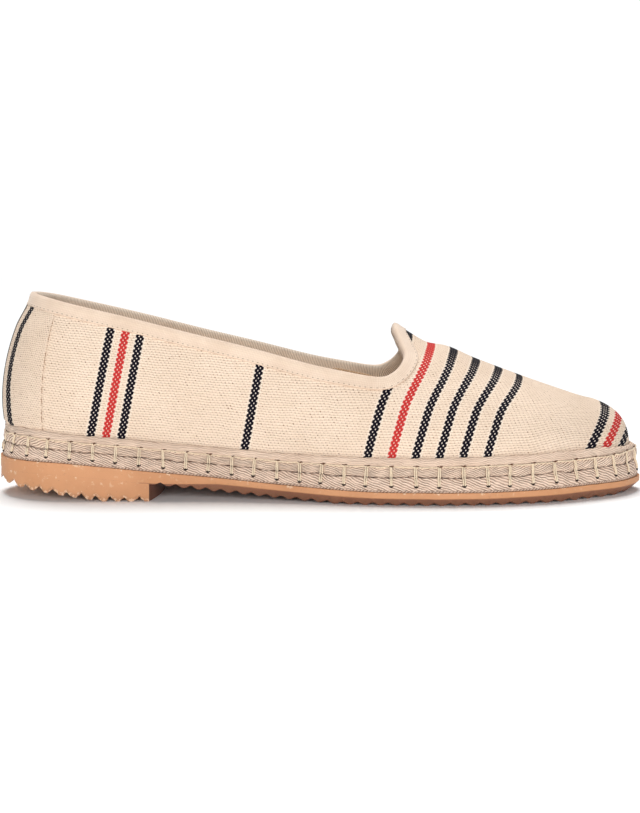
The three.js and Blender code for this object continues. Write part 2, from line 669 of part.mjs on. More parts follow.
// Heel lift: the plan of the heel up to a curved breast, cut to its side profile
function heelLift() {
  const rear = loopAt(0, () => 0).filter((p) => p.x < HEEL_LENGTH);
  const half = Math.ceil(rear.length / 2);
  const breastT = solve((t) => column(LATERAL, "along", t) * LENGTH - HEEL_LENGTH, 0, LAST);
  const breast = Array.from({ length: BREAST_POINTS + 1 }, (_, i) => {
    const share = i / BREAST_POINTS;
    const y = mix(column(LATERAL, "y", breastT), column(MEDIAL, "y", breastT), share);
    return new THREE.Vector3(HEEL_LENGTH + BREAST_BULGE * Math.sin(Math.PI * share), y, 0);
  });
  const plan = [...rear.slice(0, half), ...breast, ...rear.slice(half)].map((p) => [p.x, p.y]);
  const flatFrom = HEEL_LENGTH - HEEL_FLAT;
  const ground = (x) => (HEEL_SPRING * Math.max(0, flatFrom - x)) / flatFrom;
  const top = (x) => outsoleBottom(sectionAt(x)) - GAP;
  const back = -EDGE;
  const front = HEEL_LENGTH + BREAST_BULGE + EDGE;
  const profile = [
    [back, ground(back)],
    [flatFrom, 0],
    [front, 0],
    [front, top(front)],
    ...rear.slice(1, half).reverse().map((p) => [p.x, top(p.x)]),
    [back, top(0)],
  ];
  const blank = planCut(plan, OUTSOLE + HEEL_RISE).intersect(sideCut(profile));
  const grooves = ripples(HEEL_RIPPLE_START, HEEL_LENGTH, HEEL_RIPPLE_PITCH, HEEL_RIPPLE_DEPTH, ground);
  return blank.subtract(grooves);
}

const shoe = new THREE.Group();
shoe.add(
  node("outsole", outsole(), RUBBER),
  node("heel_lift", heelLift(), RUBBER),
  node("midsole", midsole(), TAPE),
  node("welt", welt(), TAPE),
  node("insole", insole(), FOOTBED),
  node("upper", upper(), CANVAS),
  node("backstay", backstay(), CANVAS),
  node("collar_binding", collarBinding(), BINDING),
);

// The origin is the middle of the footprint, on the floor.
const footprint = new THREE.Box3().setFromPoints(loopAt(0, () => 0));
shoe.position.copy(footprint.getCenter(new THREE.Vector3()).negate());

export default shoe;
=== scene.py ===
"""Canvas espadrille, right shoe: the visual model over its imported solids.

Lengths are in millimetres, measured from the back of the heel, until a mesh is made.
Meshes are in metres in the frame of the solids. The loop parameter t runs over the sections,
from 0 at the heel along the outer side to LAST at the toe, and back along the inner side to TURN.
"""
import math

import bmesh
import bpy
import numpy as np
from mathutils import Euler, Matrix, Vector


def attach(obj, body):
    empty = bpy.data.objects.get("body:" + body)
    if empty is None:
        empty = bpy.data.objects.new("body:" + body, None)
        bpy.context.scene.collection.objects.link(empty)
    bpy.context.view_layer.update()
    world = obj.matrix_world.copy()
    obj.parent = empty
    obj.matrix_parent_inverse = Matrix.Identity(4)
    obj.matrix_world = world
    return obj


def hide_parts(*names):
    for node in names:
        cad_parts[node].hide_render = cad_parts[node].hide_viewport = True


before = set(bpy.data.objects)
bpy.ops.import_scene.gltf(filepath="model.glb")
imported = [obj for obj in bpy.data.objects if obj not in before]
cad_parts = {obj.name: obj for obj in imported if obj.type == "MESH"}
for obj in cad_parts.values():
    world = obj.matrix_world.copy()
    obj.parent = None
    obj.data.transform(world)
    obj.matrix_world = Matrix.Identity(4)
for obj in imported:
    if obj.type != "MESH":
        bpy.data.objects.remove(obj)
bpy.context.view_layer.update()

# Sizes of the shoe in millimetres, as in the CAD solids, but for where the ripples of the sole
# start and how wide the flats between the ripples of the heel are
LENGTH = 256.0
BALL_WIDTH = 89.0
HEEL_WIDTH = 62.0
OUTSOLE = 5.2
HEEL_RISE = 9.9
TOE_SPRING = 0.7
PLATFORM = 13.0
BACK_HEIGHT = 54.2
INSTEP = 45.6
GAP = 0.3
WALL = 1.8
FEATHER_INSET = 3.9
WELT_HEIGHT = 3.3
TAPE_INSET = 0.4
TAPE_LEAN = 1.1
TAPE_RELIEF = 0.5
BAND = 4.5
BAND_THICKNESS = 0.7
BACKSTAY_THICKNESS = 0.6
BACKSTAY_REACH = 2.35
PEAK_LIFT = 3.4
PEAK_HALF_WIDTH = 12.0
PEAK_RUN = 14.0
TOE_FALL = 0.36
TOE_SECTION = 10
SIDE_FACE = 2.0
BEVEL = 3.4
HEEL_LENGTH = 62.4
HEEL_FLAT = 17.4
HEEL_SPRING = 6.3
BREAST_BULGE = 3.0
EDGE = 0.3
RIPPLE_PITCH = 5.8
RIPPLE_DEPTH = 1.3
RIPPLE_LAND = 1.2
RIPPLE_START = 1.5
HEEL_RIPPLE_START = 0.75
HEEL_RIPPLE_PITCH = 5.5
HEEL_RIPPLE_DEPTH = 1.85
HEEL_RIPPLE_LAND = 1.5
SLICES = 4

# One row for each section, with the columns named here
COLUMNS = ("along lateral medial fore rise spring platform thick bevel "
           "centre crest height swell stand shoulder").split()
SECTIONS = [
    (0.0, 0.0, 0.0, 0.0, 1.0, 0, 1.0, 0.87, 0, 0.1406, 0.0, 1.365, 1.24, 0.4, 0.47),
    (0.0164, 0.25, 0.25, 0.0, 1.0, 0, 0.995, 0.87, 0, 0.1445, 0.0, 1.365, 1.22, 0.4, 0.49),
    (0.0605, 0.429, 0.427, 0.0, 0.99, 0, 0.955, 0.87, 0, 0.16, 0.0, 1.365, 1.15, 0.42, 0.58),
    (0.125, 0.5, 0.492, 0.0, 0.92, 0, 0.87, 0.87, 0, 0.1875, 0.0, 1.365, 1.08, 0.45, 0.68),
    (0.2344, 0.5, 0.46, 0.0, 0.646, 0, 0.9, 0.9, 0, 0.254, 0.0, 1.365, 1.05, 0.5, 0.75),
    (0.3438, 0.417, 0.344, 0.5, 0.394, 0, 0.89, 1.04, 0.6, 0.3477, 0.0, 1.46, 1.04, 0.5, 0.79),
    (0.4531, 0.4045, 0.32, 1.0, 0.16, 0, 0.925, 1.08, 1, 0.4531, 0.0, 1.48, 1.02, 0.52, 0.78),
    (0.5625, 0.483, 0.399, 1.0, 0.02, 0, 0.99, 1.12, 1, 0.5586, 0.008, 1.16, 1.03, 0.58, 0.66),
    (0.6641, 0.511, 0.466, 1.0, 0.0, 0, 1.0, 1.2, 1, 0.6563, 0.017, 0.985, 1.05, 0.66, 0.49),
    (0.7109, 0.506, 0.479, 1.0, 0.0, 0, 1.015, 1.2, 1, 0.6992, 0.021, 0.93, 1.05, 0.67, 0.46),
    (0.7578, 0.489, 0.483, 1.0, 0.0, 0, 1.03, 1.2, 1, 0.7422, 0.025, 0.82, 1.05, 0.68, 0.46),
    (0.8438, 0.421, 0.455, 1.0, 0.0, 0.6, 1.045, 1.3, 1, 0.8164, 0.031, 0.648, 1.04, 0.7, 0.5),
    (0.9102, 0.309, 0.371, 1.0, 0.0, 1, 1.06, 1.3, 1.1, 0.8711, 0.036, 0.532, 1.03, 0.7, 0.55),
    (0.9609, 0.198, 0.264, 1.0, 0.0, 1, 1.1, 1.3, 1.25, 0.9063, 0.04, 0.458, 1.0, 0.64, 0.59),
    (0.9902, 0.07, 0.149, 1.0, 0.0, 1, 1.175, 1.3, 1.4, 0.9258, 0.043, 0.41, 1.0, 0.58, 0.61),
    (1.0, -0.043, 0.043, 1.0, 0.0, 1, 1.2, 1.3, 1.45, 0.9316, 0.043, 0.39, 0.99, 0.55, 0.61),
]
# The collar in the side view: x share, height share above the foot of the upper, fore
COLLAR = [
    (0.0, 1.005, 0), (0.056, 1.0, 0), (0.147, 0.945, 0), (0.273, 0.854, 0), (0.398, 0.762, 0),
    (0.508, 0.654, 0), (0.581, 0.711, 1), (0.6115, 0.75, 1), (0.63, 0.875, 1),
    (0.6245, 0.985, 1), (0.6165, 1.09, 1),
]
LAST = len(SECTIONS) - 1
TURN = 2 * LAST
THROAT_START = 7
THROAT_STATIONS = 8
COLLAR_REAR = 6
STATIONS = LAST * SLICES
RIM_STATION = THROAT_START * SLICES + THROAT_STATIONS
PEAK_TIP = COLLAR[-1][0] * LENGTH

ROWS = {name: np.array([SECTIONS[n if n <= LAST else TURN - n][i] for n in range(TURN)])
        for i, name in enumerate(COLUMNS)}
ROWS["y"] = np.array([
    (-SECTIONS[n][1] if n <= LAST else SECTIONS[TURN - n][2])
    * (HEEL_WIDTH + (BALL_WIDTH - HEEL_WIDTH) * SECTIONS[n if n <= LAST else TURN - n][3])
    for n in range(TURN)])


def smooth(x):
    x = np.clip(x, 0.0, 1.0)
    return x * x * (3.0 - 2.0 * x)


def mix(a, b, k):
    return a + (b - a) * k


def catmull(a, b, c, d, u):
    m0, m1 = (c - a) / 2, (d - b) / 2
    return (2 * b - 2 * c + m0 + m1) * u ** 3 + (3 * c - 3 * b - 2 * m0 - m1) * u ** 2 + m0 * u + b


def col(name, t):
    t = np.asarray(t, float)
    i = np.floor(t).astype(int)
    r = ROWS[name]
    return catmull(r[(i - 1) % TURN], r[i % TURN], r[(i + 1) % TURN], r[(i + 2) % TURN], t - i)


def outsole_top(t):
    return OUTSOLE + HEEL_RISE * col("rise", t) + TOE_SPRING * col("spring", t)


def outsole_bottom(t):
    return np.maximum(0.0, outsole_top(t) - OUTSOLE * col("thick", t))


def welt_top(t):
    return outsole_top(t) + PLATFORM * col("platform", t)


def feather(t):
    return welt_top(t) - WELT_HEIGHT


def edge(t, inset):
    """Point of the sole's outline at t, moved in by inset; also its inward direction."""
    t = np.asarray(t, float)
    e = 0.01
    tx = (col("along", t + e) - col("along", t - e)) * LENGTH
    ty = col("y", t + e) - col("y", t - e)
    n = np.hypot(tx, ty)
    ix, iy = -ty / n, tx / n
    return col("along", t) * LENGTH + ix * inset, col("y", t) + iy * inset, ix, iy


def bezier(p0, p1, p2, p3, b):
    return p0 * (1 - b) ** 3 + 3 * p1 * b * (1 - b) ** 2 + 3 * p2 * b ** 2 * (1 - b) + p3 * b ** 3


def surface(t, b):
    """Outer face of the upper, closed over the foot: b is 0 at its foot and 1 at the crest."""
    t, b = np.broadcast_arrays(np.asarray(t, float), np.asarray(b, float))
    fx, fy, _, _ = edge(t, FEATHER_INSET)
    cx = col("centre", t) * LENGTH
    cy = col("crest", t) * BALL_WIDTH
    base = feather(t)
    height = col("height", t) * mix(BACK_HEIGHT, INSTEP, col("fore", t))
    shoulder = col("shoulder", t)
    reach = bezier(1.0, col("swell", t), shoulder, 0.0, b)
    tt = np.minimum(t % TURN, TURN - t % TURN)
    sz = base + height - TOE_FALL * np.maximum(0, shoulder * (fx - cx)) * smooth((tt - TOE_SECTION) / 3)
    x = cx + reach * (fx - cx)
    y = cy + reach * (fy - cy)
    z = bezier(base, base + col("stand", t) * height, sz, base + height, b)
    run = smooth((PEAK_TIP + PEAK_RUN - x) / PEAK_RUN)
    across = np.exp(-((y - cy) / PEAK_HALF_WIDTH) ** 2)
    return np.stack([x, y, z + PEAK_LIFT * run * across * smooth(2 * b - 1)], axis=-1)


def unit(v):
    return v / np.maximum(1e-12, np.linalg.norm(v, axis=-1, keepdims=True))


def normal(t, b):
    t, b = np.broadcast_arrays(np.asarray(t, float), np.asarray(b, float))
    e = 0.02
    low = np.clip(b - e, 0, 1 - 2 * e)
    along = surface(t + e, low + e) - surface(t - e, low + e)
    up = surface(t, low + 2 * e) - surface(t, low)
    n = unit(np.cross(along, up))
    other = unit(np.cross(surface(TURN - t + e, low + e) - surface(TURN - t - e, low + e),
                          surface(TURN - t, low + 2 * e) - surface(TURN - t, low)))
    both = unit(n + other)
    return np.where((b > 0.999)[..., None], both, n)


def solve(f, low, high, steps=34):
    low = np.array(low, float)
    high = np.array(high, float)
    for _ in range(steps):
        mid = (low + high) / 2
        under = f(mid) < 0
        low = np.where(under, mid, low)
        high = np.where(under, high, mid)
    return (low + high) / 2


def wall_at(t, height):
    t = np.asarray(t, float)
    return solve(lambda b: surface(t, b)[..., 2] - feather(t) - height, np.zeros(t.shape), np.ones(t.shape))


def section_at(x):
    x = np.asarray(x, float)
    return solve(lambda t: col("along", t) * LENGTH - x, np.zeros(x.shape), np.full(x.shape, float(LAST)))


def collar_point(q):
    q = np.asarray(q, float)
    i = np.clip(np.floor(q).astype(int), 0, len(COLLAR) - 2)
    c = np.array(COLLAR, float)
    pick = lambda n: c[np.clip(n, 0, len(COLLAR) - 1)]
    v = catmull(pick(i - 1), pick(i), pick(i + 1), pick(i + 2), (q - i)[..., None])
    x = v[..., 0] * LENGTH
    rise = v[..., 1] * mix(BACK_HEIGHT, INSTEP, v[..., 2])
    return x, feather(section_at(x)) + rise


REAR_X, REAR_Z = collar_point(np.linspace(0, COLLAR_REAR, 400))


def rear_rim(t):
    """Where section t meets the rear part of the collar, as b."""
    t = np.asarray(t, float)

    def above(b):
        p = surface(t, b)
        return p[..., 2] - np.interp(p[..., 0], REAR_X, REAR_Z)
    return solve(above, np.zeros(t.shape), np.ones(t.shape))


def locate(side, x, z):
    """The (t, b) of points given by x and z, on the outer (side -1) or inner side."""
    tau = (lambda t: t) if side < 0 else (lambda t: TURN - t)
    b_at = lambda t: solve(lambda b: surface(tau(t), b)[..., 2] - z, np.zeros(x.shape), np.ones(x.shape), 26)
    t = solve(lambda n: surface(tau(n), b_at(n))[..., 0] - x,
              np.full(x.shape, THROAT_START - 1.0), np.full(x.shape, THROAT_START + 3.0), 26)
    return t, b_at(t)


def top_boundary(side, index):
    """Top (t, b) of columns of one side, for index from 0 at the heel to STATIONS at the toe."""
    tau = (lambda t: t) if side < 0 else (lambda t: TURN - t)
    index = np.asarray(index, float)
    start = THROAT_START * SLICES
    t = index / SLICES
    b = np.ones(index.shape)
    rear = index <= start
    b[rear] = rear_rim(tau(t[rear]))
    x0 = surface(tau(THROAT_START), rear_rim(tau(np.array([float(THROAT_START)]))))[0, 0]
    q = np.linspace(0, len(COLLAR) - 1, 4001)
    x, z = collar_point(q)
    first = int(np.argmax(x >= x0))
    x, z = x[first:], z[first:]
    run = np.concatenate([[0], np.cumsum(np.hypot(np.diff(x), np.diff(z)))])
    tip = float(solve(lambda n: surface(n, 1.0)[..., 0] - PEAK_TIP, THROAT_START - 1.0, float(LAST)))
    throat = (index > start) & (index < RIM_STATION)
    share = (index[throat] - start) / THROAT_STATIONS * run[-1]
    t[throat], b[throat] = locate(side, np.interp(share, run, x), np.interp(share, run, z))
    ahead = index >= RIM_STATION
    t[ahead] = mix(tip, LAST, (index[ahead] - RIM_STATION) / (STATIONS - RIM_STATION))
    return t, b


OUTLINE_T = np.linspace(0, TURN, 121)[:-1]
OUTLINE_Y = edge(OUTLINE_T, 0.0)[1]
MIDDLE = np.array([LENGTH / 2, (OUTLINE_Y.min() + OUTLINE_Y.max()) / 2, 0.0])
RNG = np.random.default_rng(7)


def arc(points):
    """Running length along points."""
    step = np.linalg.norm(np.diff(points, axis=0), axis=-1)
    return np.concatenate([[0.0], np.cumsum(step)])


def bumpy(x, seed, scale):
    """Smooth noise of one coordinate, from -1 to 1."""
    rng = np.random.default_rng(seed)
    values = rng.uniform(-1, 1, 4096)
    x = np.asarray(x, float) / scale
    i = np.floor(x).astype(int)
    u = x - i
    return mix(values[i % 4096], values[(i + 1) % 4096], u * u * (3 - 2 * u))


# Meshes

def make(name, points, faces, material, replaces=(), fields=None, crisp=None):
    """An object from points in millimetres and faces, with point fields for its material."""
    mesh = bpy.data.meshes.new(name)
    shifted = (np.asarray(points, float).reshape(-1, 3) - MIDDLE) / 1000
    mesh.from_pydata(shifted.tolist(), [], [tuple(int(i) for i in f) for f in faces])
    for key, values in (fields or {}).items():
        values = np.asarray(values, float).reshape(len(shifted), -1)
        layer = mesh.attributes.new(key, "FLOAT_VECTOR", "POINT")
        full = np.zeros((len(shifted), 3))
        full[:, :values.shape[1]] = values
        layer.data.foreach_set("vector", full.ravel())
    work = bmesh.new()
    work.from_mesh(mesh)
    bmesh.ops.remove_doubles(work, verts=work.verts, dist=2e-6)
    bmesh.ops.dissolve_degenerate(work, edges=work.edges, dist=1e-6)
    bmesh.ops.recalc_face_normals(work, faces=work.faces)
    work.to_mesh(mesh)
    work.free()
    mesh.validate()
    mesh.polygons.foreach_set("use_smooth", [True] * len(mesh.polygons))
    if crisp:
        mesh.set_sharp_from_angle(angle=math.radians(crisp))
    mesh.materials.append(material)
    piece = bpy.data.objects.new(name, mesh)
    bpy.context.scene.collection.objects.link(piece)
    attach(piece, "root")
    if replaces:
        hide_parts(*replaces)
    return piece


def grid_faces(n, m, wrap_n=False, wrap_m=False, start=0):
    """Quads over an n by m grid of points."""
    i = np.arange(n if wrap_n else n - 1)
    j = np.arange(m if wrap_m else m - 1)
    a, b = np.meshgrid(i, j, indexing="ij")
    a2, b2 = (a + 1) % n, (b + 1) % m
    return np.stack([a * m + b, a2 * m + b, a2 * m + b2, a * m + b2], axis=-1).reshape(-1, 4) + start


def sweep(spine, radius, sides=6, closed=False):
    """Points and faces of a round thread along a spine; radius may vary along it."""
    spine = np.asarray(spine, float)
    n = len(spine)
    ahead = np.roll(spine, -1, 0) - np.roll(spine, 1, 0)
    if not closed:
        ahead[0], ahead[-1] = spine[1] - spine[0], spine[-1] - spine[-2]
    ahead = unit(ahead)
    up = np.where(np.abs(ahead[:, 2:3]) > 0.9, [[1.0, 0, 0]], [[0, 0, 1.0]])
    side = unit(np.cross(ahead, up))
    up = np.cross(side, ahead)
    angle = np.arange(sides) / sides * 2 * math.pi
    r = np.broadcast_to(np.asarray(radius, float), (n,))[:, None, None]
    ring = side[:, None] * np.cos(angle)[None, :, None] + up[:, None] * np.sin(angle)[None, :, None]
    points = spine[:, None] + ring * r
    faces = [tuple(f) for f in grid_faces(n, sides, wrap_n=closed, wrap_m=True)]
    if not closed:
        faces.append(tuple(range(sides)))
        faces.append(tuple(reversed(range((n - 1) * sides, n * sides))))
    return points.reshape(-1, 3), faces


def joined(parts):
    """One list of points and one of faces from several."""
    points, faces, start = [], [], 0
    for p, f in parts:
        points.append(p)
        faces.extend(tuple(int(i) + start for i in face) for face in f)
        start += len(p)
    return np.concatenate(points), faces


# Materials

def linear(r, g, b):
    """Linear colour from 8-bit sRGB."""
    shares = (r / 255, g / 255, b / 255)
    return tuple(c / 12.92 if c <= 0.04045 else ((c + 0.055) / 1.055) ** 2.4 for c in shares)


class Shade:
    """A node tree, written as expressions."""

    def __init__(self, name):
        self.material = bpy.data.materials.new(name)
        self.material.use_nodes = True
        self.nodes = self.material.node_tree.nodes
        self.links = self.material.node_tree.links
        self.nodes.clear()
        self.shader = self.nodes.new("ShaderNodeBsdfPrincipled")
        out = self.nodes.new("ShaderNodeOutputMaterial")
        self.links.new(self.shader.outputs[0], out.inputs[0])

    def put(self, socket, value):
        if isinstance(value, bpy.types.NodeSocket):
            self.links.new(value, socket)
        elif value is not None:
            socket.default_value = value

    def math(self, op, a, b=None):
        node = self.nodes.new("ShaderNodeMath")
        node.operation = op
        for socket, value in zip(node.inputs, (a, b)):
            self.put(socket, value)
        return node.outputs[0]

    def add(self, a, b):
        return self.math("ADD", a, b)

    def sub(self, a, b):
        return self.math("SUBTRACT", a, b)

    def mul(self, a, b):
        return self.math("MULTIPLY", a, b)

    def less(self, a, b):
        return self.math("LESS_THAN", a, b)

    def fract(self, a):
        return self.math("FRACT", a)

    def abs(self, a):
        return self.math("ABSOLUTE", a)

    def sin(self, a):
        return self.math("SINE", a)

    def floor(self, a):
        return self.math("FLOOR", a)

    def power(self, a, b):
        return self.math("POWER", a, b)

    def least(self, a, b):
        return self.math("MINIMUM", a, b)

    def most(self, a, b):
        return self.math("MAXIMUM", a, b)

    def ramp(self, value, low, high, out_low=0.0, out_high=1.0):
        node = self.nodes.new("ShaderNodeMapRange")
        node.interpolation_type = "SMOOTHSTEP"
        self.put(node.inputs["Value"], value)
        for key, v in (("From Min", low), ("From Max", high), ("To Min", out_low), ("To Max", out_high)):
            self.put(node.inputs[key], v)
        return node.outputs["Result"]

    def mix(self, factor, a, b):
        node = self.nodes.new("ShaderNodeMix")
        node.data_type = "RGBA"
        self.put(node.inputs["Factor"], factor)
        ins = [s for s in node.inputs if s.type == "RGBA"]
        for socket, value in zip(ins, (a, b)):
            self.put(socket, value if isinstance(value, bpy.types.NodeSocket) else (*value, 1.0))
        return [s for s in node.outputs if s.type == "RGBA"][0]

    def field(self, name):
        """The three numbers of a point field."""
        node = self.nodes.new("ShaderNodeAttribute")
        node.attribute_name = name
        split = self.nodes.new("ShaderNodeSeparateXYZ")
        self.links.new(node.outputs["Vector"], split.inputs[0])
        return split.outputs[0], split.outputs[1], split.outputs[2]

    def vector(self, x, y, z=0.0):
        node = self.nodes.new("ShaderNodeCombineXYZ")
        for socket, value in zip(node.inputs, (x, y, z)):
            self.put(socket, value)
        return node.outputs[0]

    def place(self):
        """Position on the object, in millimetres."""
        node = self.nodes.new("ShaderNodeTexCoord")
        scale = self.nodes.new("ShaderNodeVectorMath")
        scale.operation = "SCALE"
        self.links.new(node.outputs["Object"], scale.inputs[0])
        scale.inputs["Scale"].default_value = 1000.0
        return scale.outputs[0]

    def noise(self, vector, scale, detail=2.0, roughness=0.5):
        node = self.nodes.new("ShaderNodeTexNoise")
        self.put(node.inputs["Vector"], vector)
        self.put(node.inputs["Scale"], scale)
        self.put(node.inputs["Detail"], detail)
        self.put(node.inputs["Roughness"], roughness)
        return node.outputs["Fac"]

    def random(self, vector):
        node = self.nodes.new("ShaderNodeTexWhiteNoise")
        self.put(node.inputs["Vector"], vector)
        return node.outputs["Value"]

    def bump(self, height, distance, strength=1.0):
        """Height from 0 to 1, as deep as distance in millimetres."""
        node = self.nodes.new("ShaderNodeBump")
        self.put(node.inputs["Height"], height)
        node.inputs["Distance"].default_value = distance / 1000
        node.inputs["Strength"].default_value = strength
        self.links.new(node.outputs[0], self.shader.inputs["Normal"])

    def finish(self, color, roughness, sheen=0.0, specular=0.5, coat=0.0):
        self.put(self.shader.inputs["Base Color"],
                 color if isinstance(color, bpy.types.NodeSocket) else (*color, 1.0))
        self.put(self.shader.inputs["Roughness"], roughness)
        self.shader.inputs["Sheen Weight"].default_value = sheen
        self.shader.inputs["Sheen Roughness"].default_value = 0.5
        self.shader.inputs["Specular IOR Level"].default_value = specular
        self.shader.inputs["Coat Weight"].default_value = coat
        return self.material


NAVY = linear(18, 16, 27)
RED = linear(220, 66, 61)
CANVAS_DEEP = (237, 212, 189)
CANVAS_PALE = (246, 222, 200)

# Stripes across the canvas, each by where it leaves the sole
STRIPES = [(39.2, 0), (45.1, 1), (50.9, 0), (98.4, 0), (145.3, 0), (154.3, 1), (163.3, 0), (172.2, 0),
           (181.2, 0), (190.4, 0), (230.7, 0), (237.6, 1), (245.5, 0)]
HEEL_STRIPES = [(-16.2, 0), (-6.6, 0), (6.6, 0), (16.2, 0)]
STRIPE_HALF = 1.55
DOT_PITCH = 1.9


def woven(name, stripes, row=0.955, brick=1.43, depth=0.2, half=STRIPE_HALF, seam=False):
    """Canvas: field "cloth" holds the place across the stripes and along them."""
    s = Shade(name)
    u, v, side = s.field("cloth")
    place = s.place()
    # Weave: staggered bricks in rows
    sway = s.mul(s.sub(s.noise(place, 0.12, 2.0), 0.5), 1.2)
    rows = s.mul(s.add(v, sway), 1 / row)
    level = s.floor(rows)
    within = s.sub(rows, level)
    bricks = s.add(s.mul(u, 1 / brick), s.mul(level, 0.5))
    cell = s.floor(bricks)
    across = s.sub(bricks, cell)
    crown = s.power(s.sin(s.mul(within, math.pi)), 0.6)
    swell = s.power(s.sin(s.mul(across, math.pi)), 0.5)
    chance = s.random(s.vector(cell, level, 1.0))
    height = s.mul(s.mul(crown, s.add(0.55, s.mul(swell, 0.45))), s.add(0.75, s.mul(chance, 0.25)))
    # Holes where the bricks meet, most of them nearly closed
    line = s.math("ROUND", rows)
    posts = s.add(s.mul(u, 1 / brick), s.mul(line, 0.5))
    post = s.math("ROUND", posts)
    gap_u = s.mul(s.sub(posts, post), brick)
    gap_v = s.mul(s.sub(rows, line), row)
    long_way = s.mul(s.sub(s.mul(gap_u, 0.8), s.mul(gap_v, 0.6)), 1 / 0.38)
    short_way = s.mul(s.add(s.mul(gap_u, 0.6), s.mul(gap_v, 0.8)), 1 / 0.2)
    far = s.add(s.mul(long_way, long_way), s.mul(short_way, short_way))
    pin = s.random(s.vector(post, line, 5.0))
    open_share = s.add(s.ramp(pin, 0.0, 1.0, 0.2, 0.46), s.ramp(pin, 0.93, 0.99, 0.0, 0.45))
    hole = s.mul(s.ramp(far, 1.5, 0.1), open_share)
    # Stripe: nearest centre, then a lattice of cream dots over it
    du, red, on = 99.0, 0.0, 0.0
    for centre, is_red in stripes:
        d = s.sub(u, centre)
        near = s.less(s.abs(d), 2.4)
        du = s.add(s.mul(d, near), s.mul(du, s.sub(1.0, near)))
        on = s.add(on, near)
        if is_red:
            red = s.add(red, near)
    du = s.mul(du, STRIPE_HALF / half)
    if not seam:
        du = s.mul(du, s.ramp(u, 218.0, 232.0, 1.0, 0.76))
    # Two columns of dots inside, and notches along both edges
    k = s.most(s.least(s.math("ROUND", s.add(s.mul(du, 1 / 0.76), 0.5)), 2.0), -1.0)
    off = s.sub(k, 0.5)
    outer = s.math("GREATER_THAN", s.abs(off), 1.0)
    centre = s.add(s.mul(off, 0.76), s.mul(s.mul(outer, s.math("SIGN", off)), 0.33))
    lu = s.mul(s.sub(du, centre), s.add(1 / 0.21, s.mul(outer, 1 / 0.42 - 1 / 0.21)))
    turn = s.sub(s.fract(s.add(s.add(s.mul(v, 1 / DOT_PITCH), 100.0), s.mul(k, 0.5))), 0.5)
    lv = s.mul(turn, s.add(DOT_PITCH / 0.28, s.mul(outer, DOT_PITCH / 0.38 - DOT_PITCH / 0.28)))
    r2 = s.add(s.mul(lu, lu), s.mul(lv, lv))
    dot = s.ramp(r2, 1.5, 0.5)
    keep = 0.6 if seam else s.sub(1.0, s.mul(side, 0.8))
    red = s.least(red, 1.0)
    dot = s.mul(s.mul(dot, keep), s.sub(1.0, s.mul(red, 0.15)))
    rag = s.mul(s.sub(s.random(s.vector(s.floor(s.mul(v, 1 / row)), s.math("SIGN", du), 3.0)), 0.5), 0.12)
    band = s.ramp(s.add(s.abs(du), rag), STRIPE_HALF + 0.16, STRIPE_HALF - 0.02)
    stripe = s.mul(s.mul(band, s.sub(1.0, dot)), on)
    # Colour
    cloudy = s.noise(place, 0.05, 3.0)
    slub = s.noise(s.vector(s.mul(u, 0.35), s.mul(v, 2.6), 0.0), 1.0, 2.0)
    base = s.mix(s.ramp(cloudy, 0.3, 0.7), linear(*CANVAS_DEEP), linear(*CANVAS_PALE))
    base = s.mix(s.mul(chance, 0.22), base, linear(226, 200, 172))
    base = s.mix(s.mul(s.ramp(slub, 0.6, 0.3), 0.25), base, linear(222, 194, 164))
    # painted shade between the weave's rows and between its bricks, and a painted highlight on the bricks'
    # tops
    base = s.mix(s.mul(s.ramp(crown, 0.85, 0.15), 0.3), base, linear(202, 166, 138))
    base = s.mix(s.mul(s.ramp(swell, 0.6, 0.1), 0.28), base, linear(202, 166, 138))
    base = s.mix(s.mul(s.mul(crown, swell), 0.3), base, linear(255, 238, 218))
    # painted shade in the open holes of the weave
    base = s.mix(hole, base, linear(146, 102, 74))
    dyed = s.mix(s.mul(s.ramp(r2, 2.0, 4.0), 0.45), RED, linear(166, 46, 44))
    dyed = s.mix(red, NAVY, dyed)
    # painted shade between the weave's rows on the stripes
    dyed = s.mix(s.mul(s.ramp(crown, 0.7, 0.1), 0.3), dyed, linear(20, 8, 12))
    beside = s.mul(s.mul(s.ramp(s.abs(du), STRIPE_HALF + 0.1, STRIPE_HALF + 0.25),
                         s.ramp(s.abs(du), STRIPE_HALF + 0.8, STRIPE_HALF + 0.55)), on)
    base = s.mix(s.mul(beside, 0.35), base, linear(250, 236, 220))
    base = s.mix(s.mul(s.mul(dot, s.mul(band, on)), 0.7), base, linear(250, 240, 228))
    colour = s.mix(stripe, base, dyed)
    if seam:
        line = s.ramp(s.abs(s.sub(side, s.add(0.35, s.mul(sway, 0.3)))), 0.17, 0.07)
        dash = s.ramp(s.noise(s.vector(s.mul(v, 0.45), 3.0, 0.0), 1.0, 2.0), 0.42, 0.56)
        colour = s.mix(s.mul(line, s.add(0.12, s.mul(dash, 0.6))), colour, linear(138, 96, 66))
    s.bump(s.sub(s.add(height, s.mul(stripe, 0.2)), s.mul(hole, 0.6)), depth)
    return s.finish(colour, 0.95, sheen=0.02, specular=0.1)


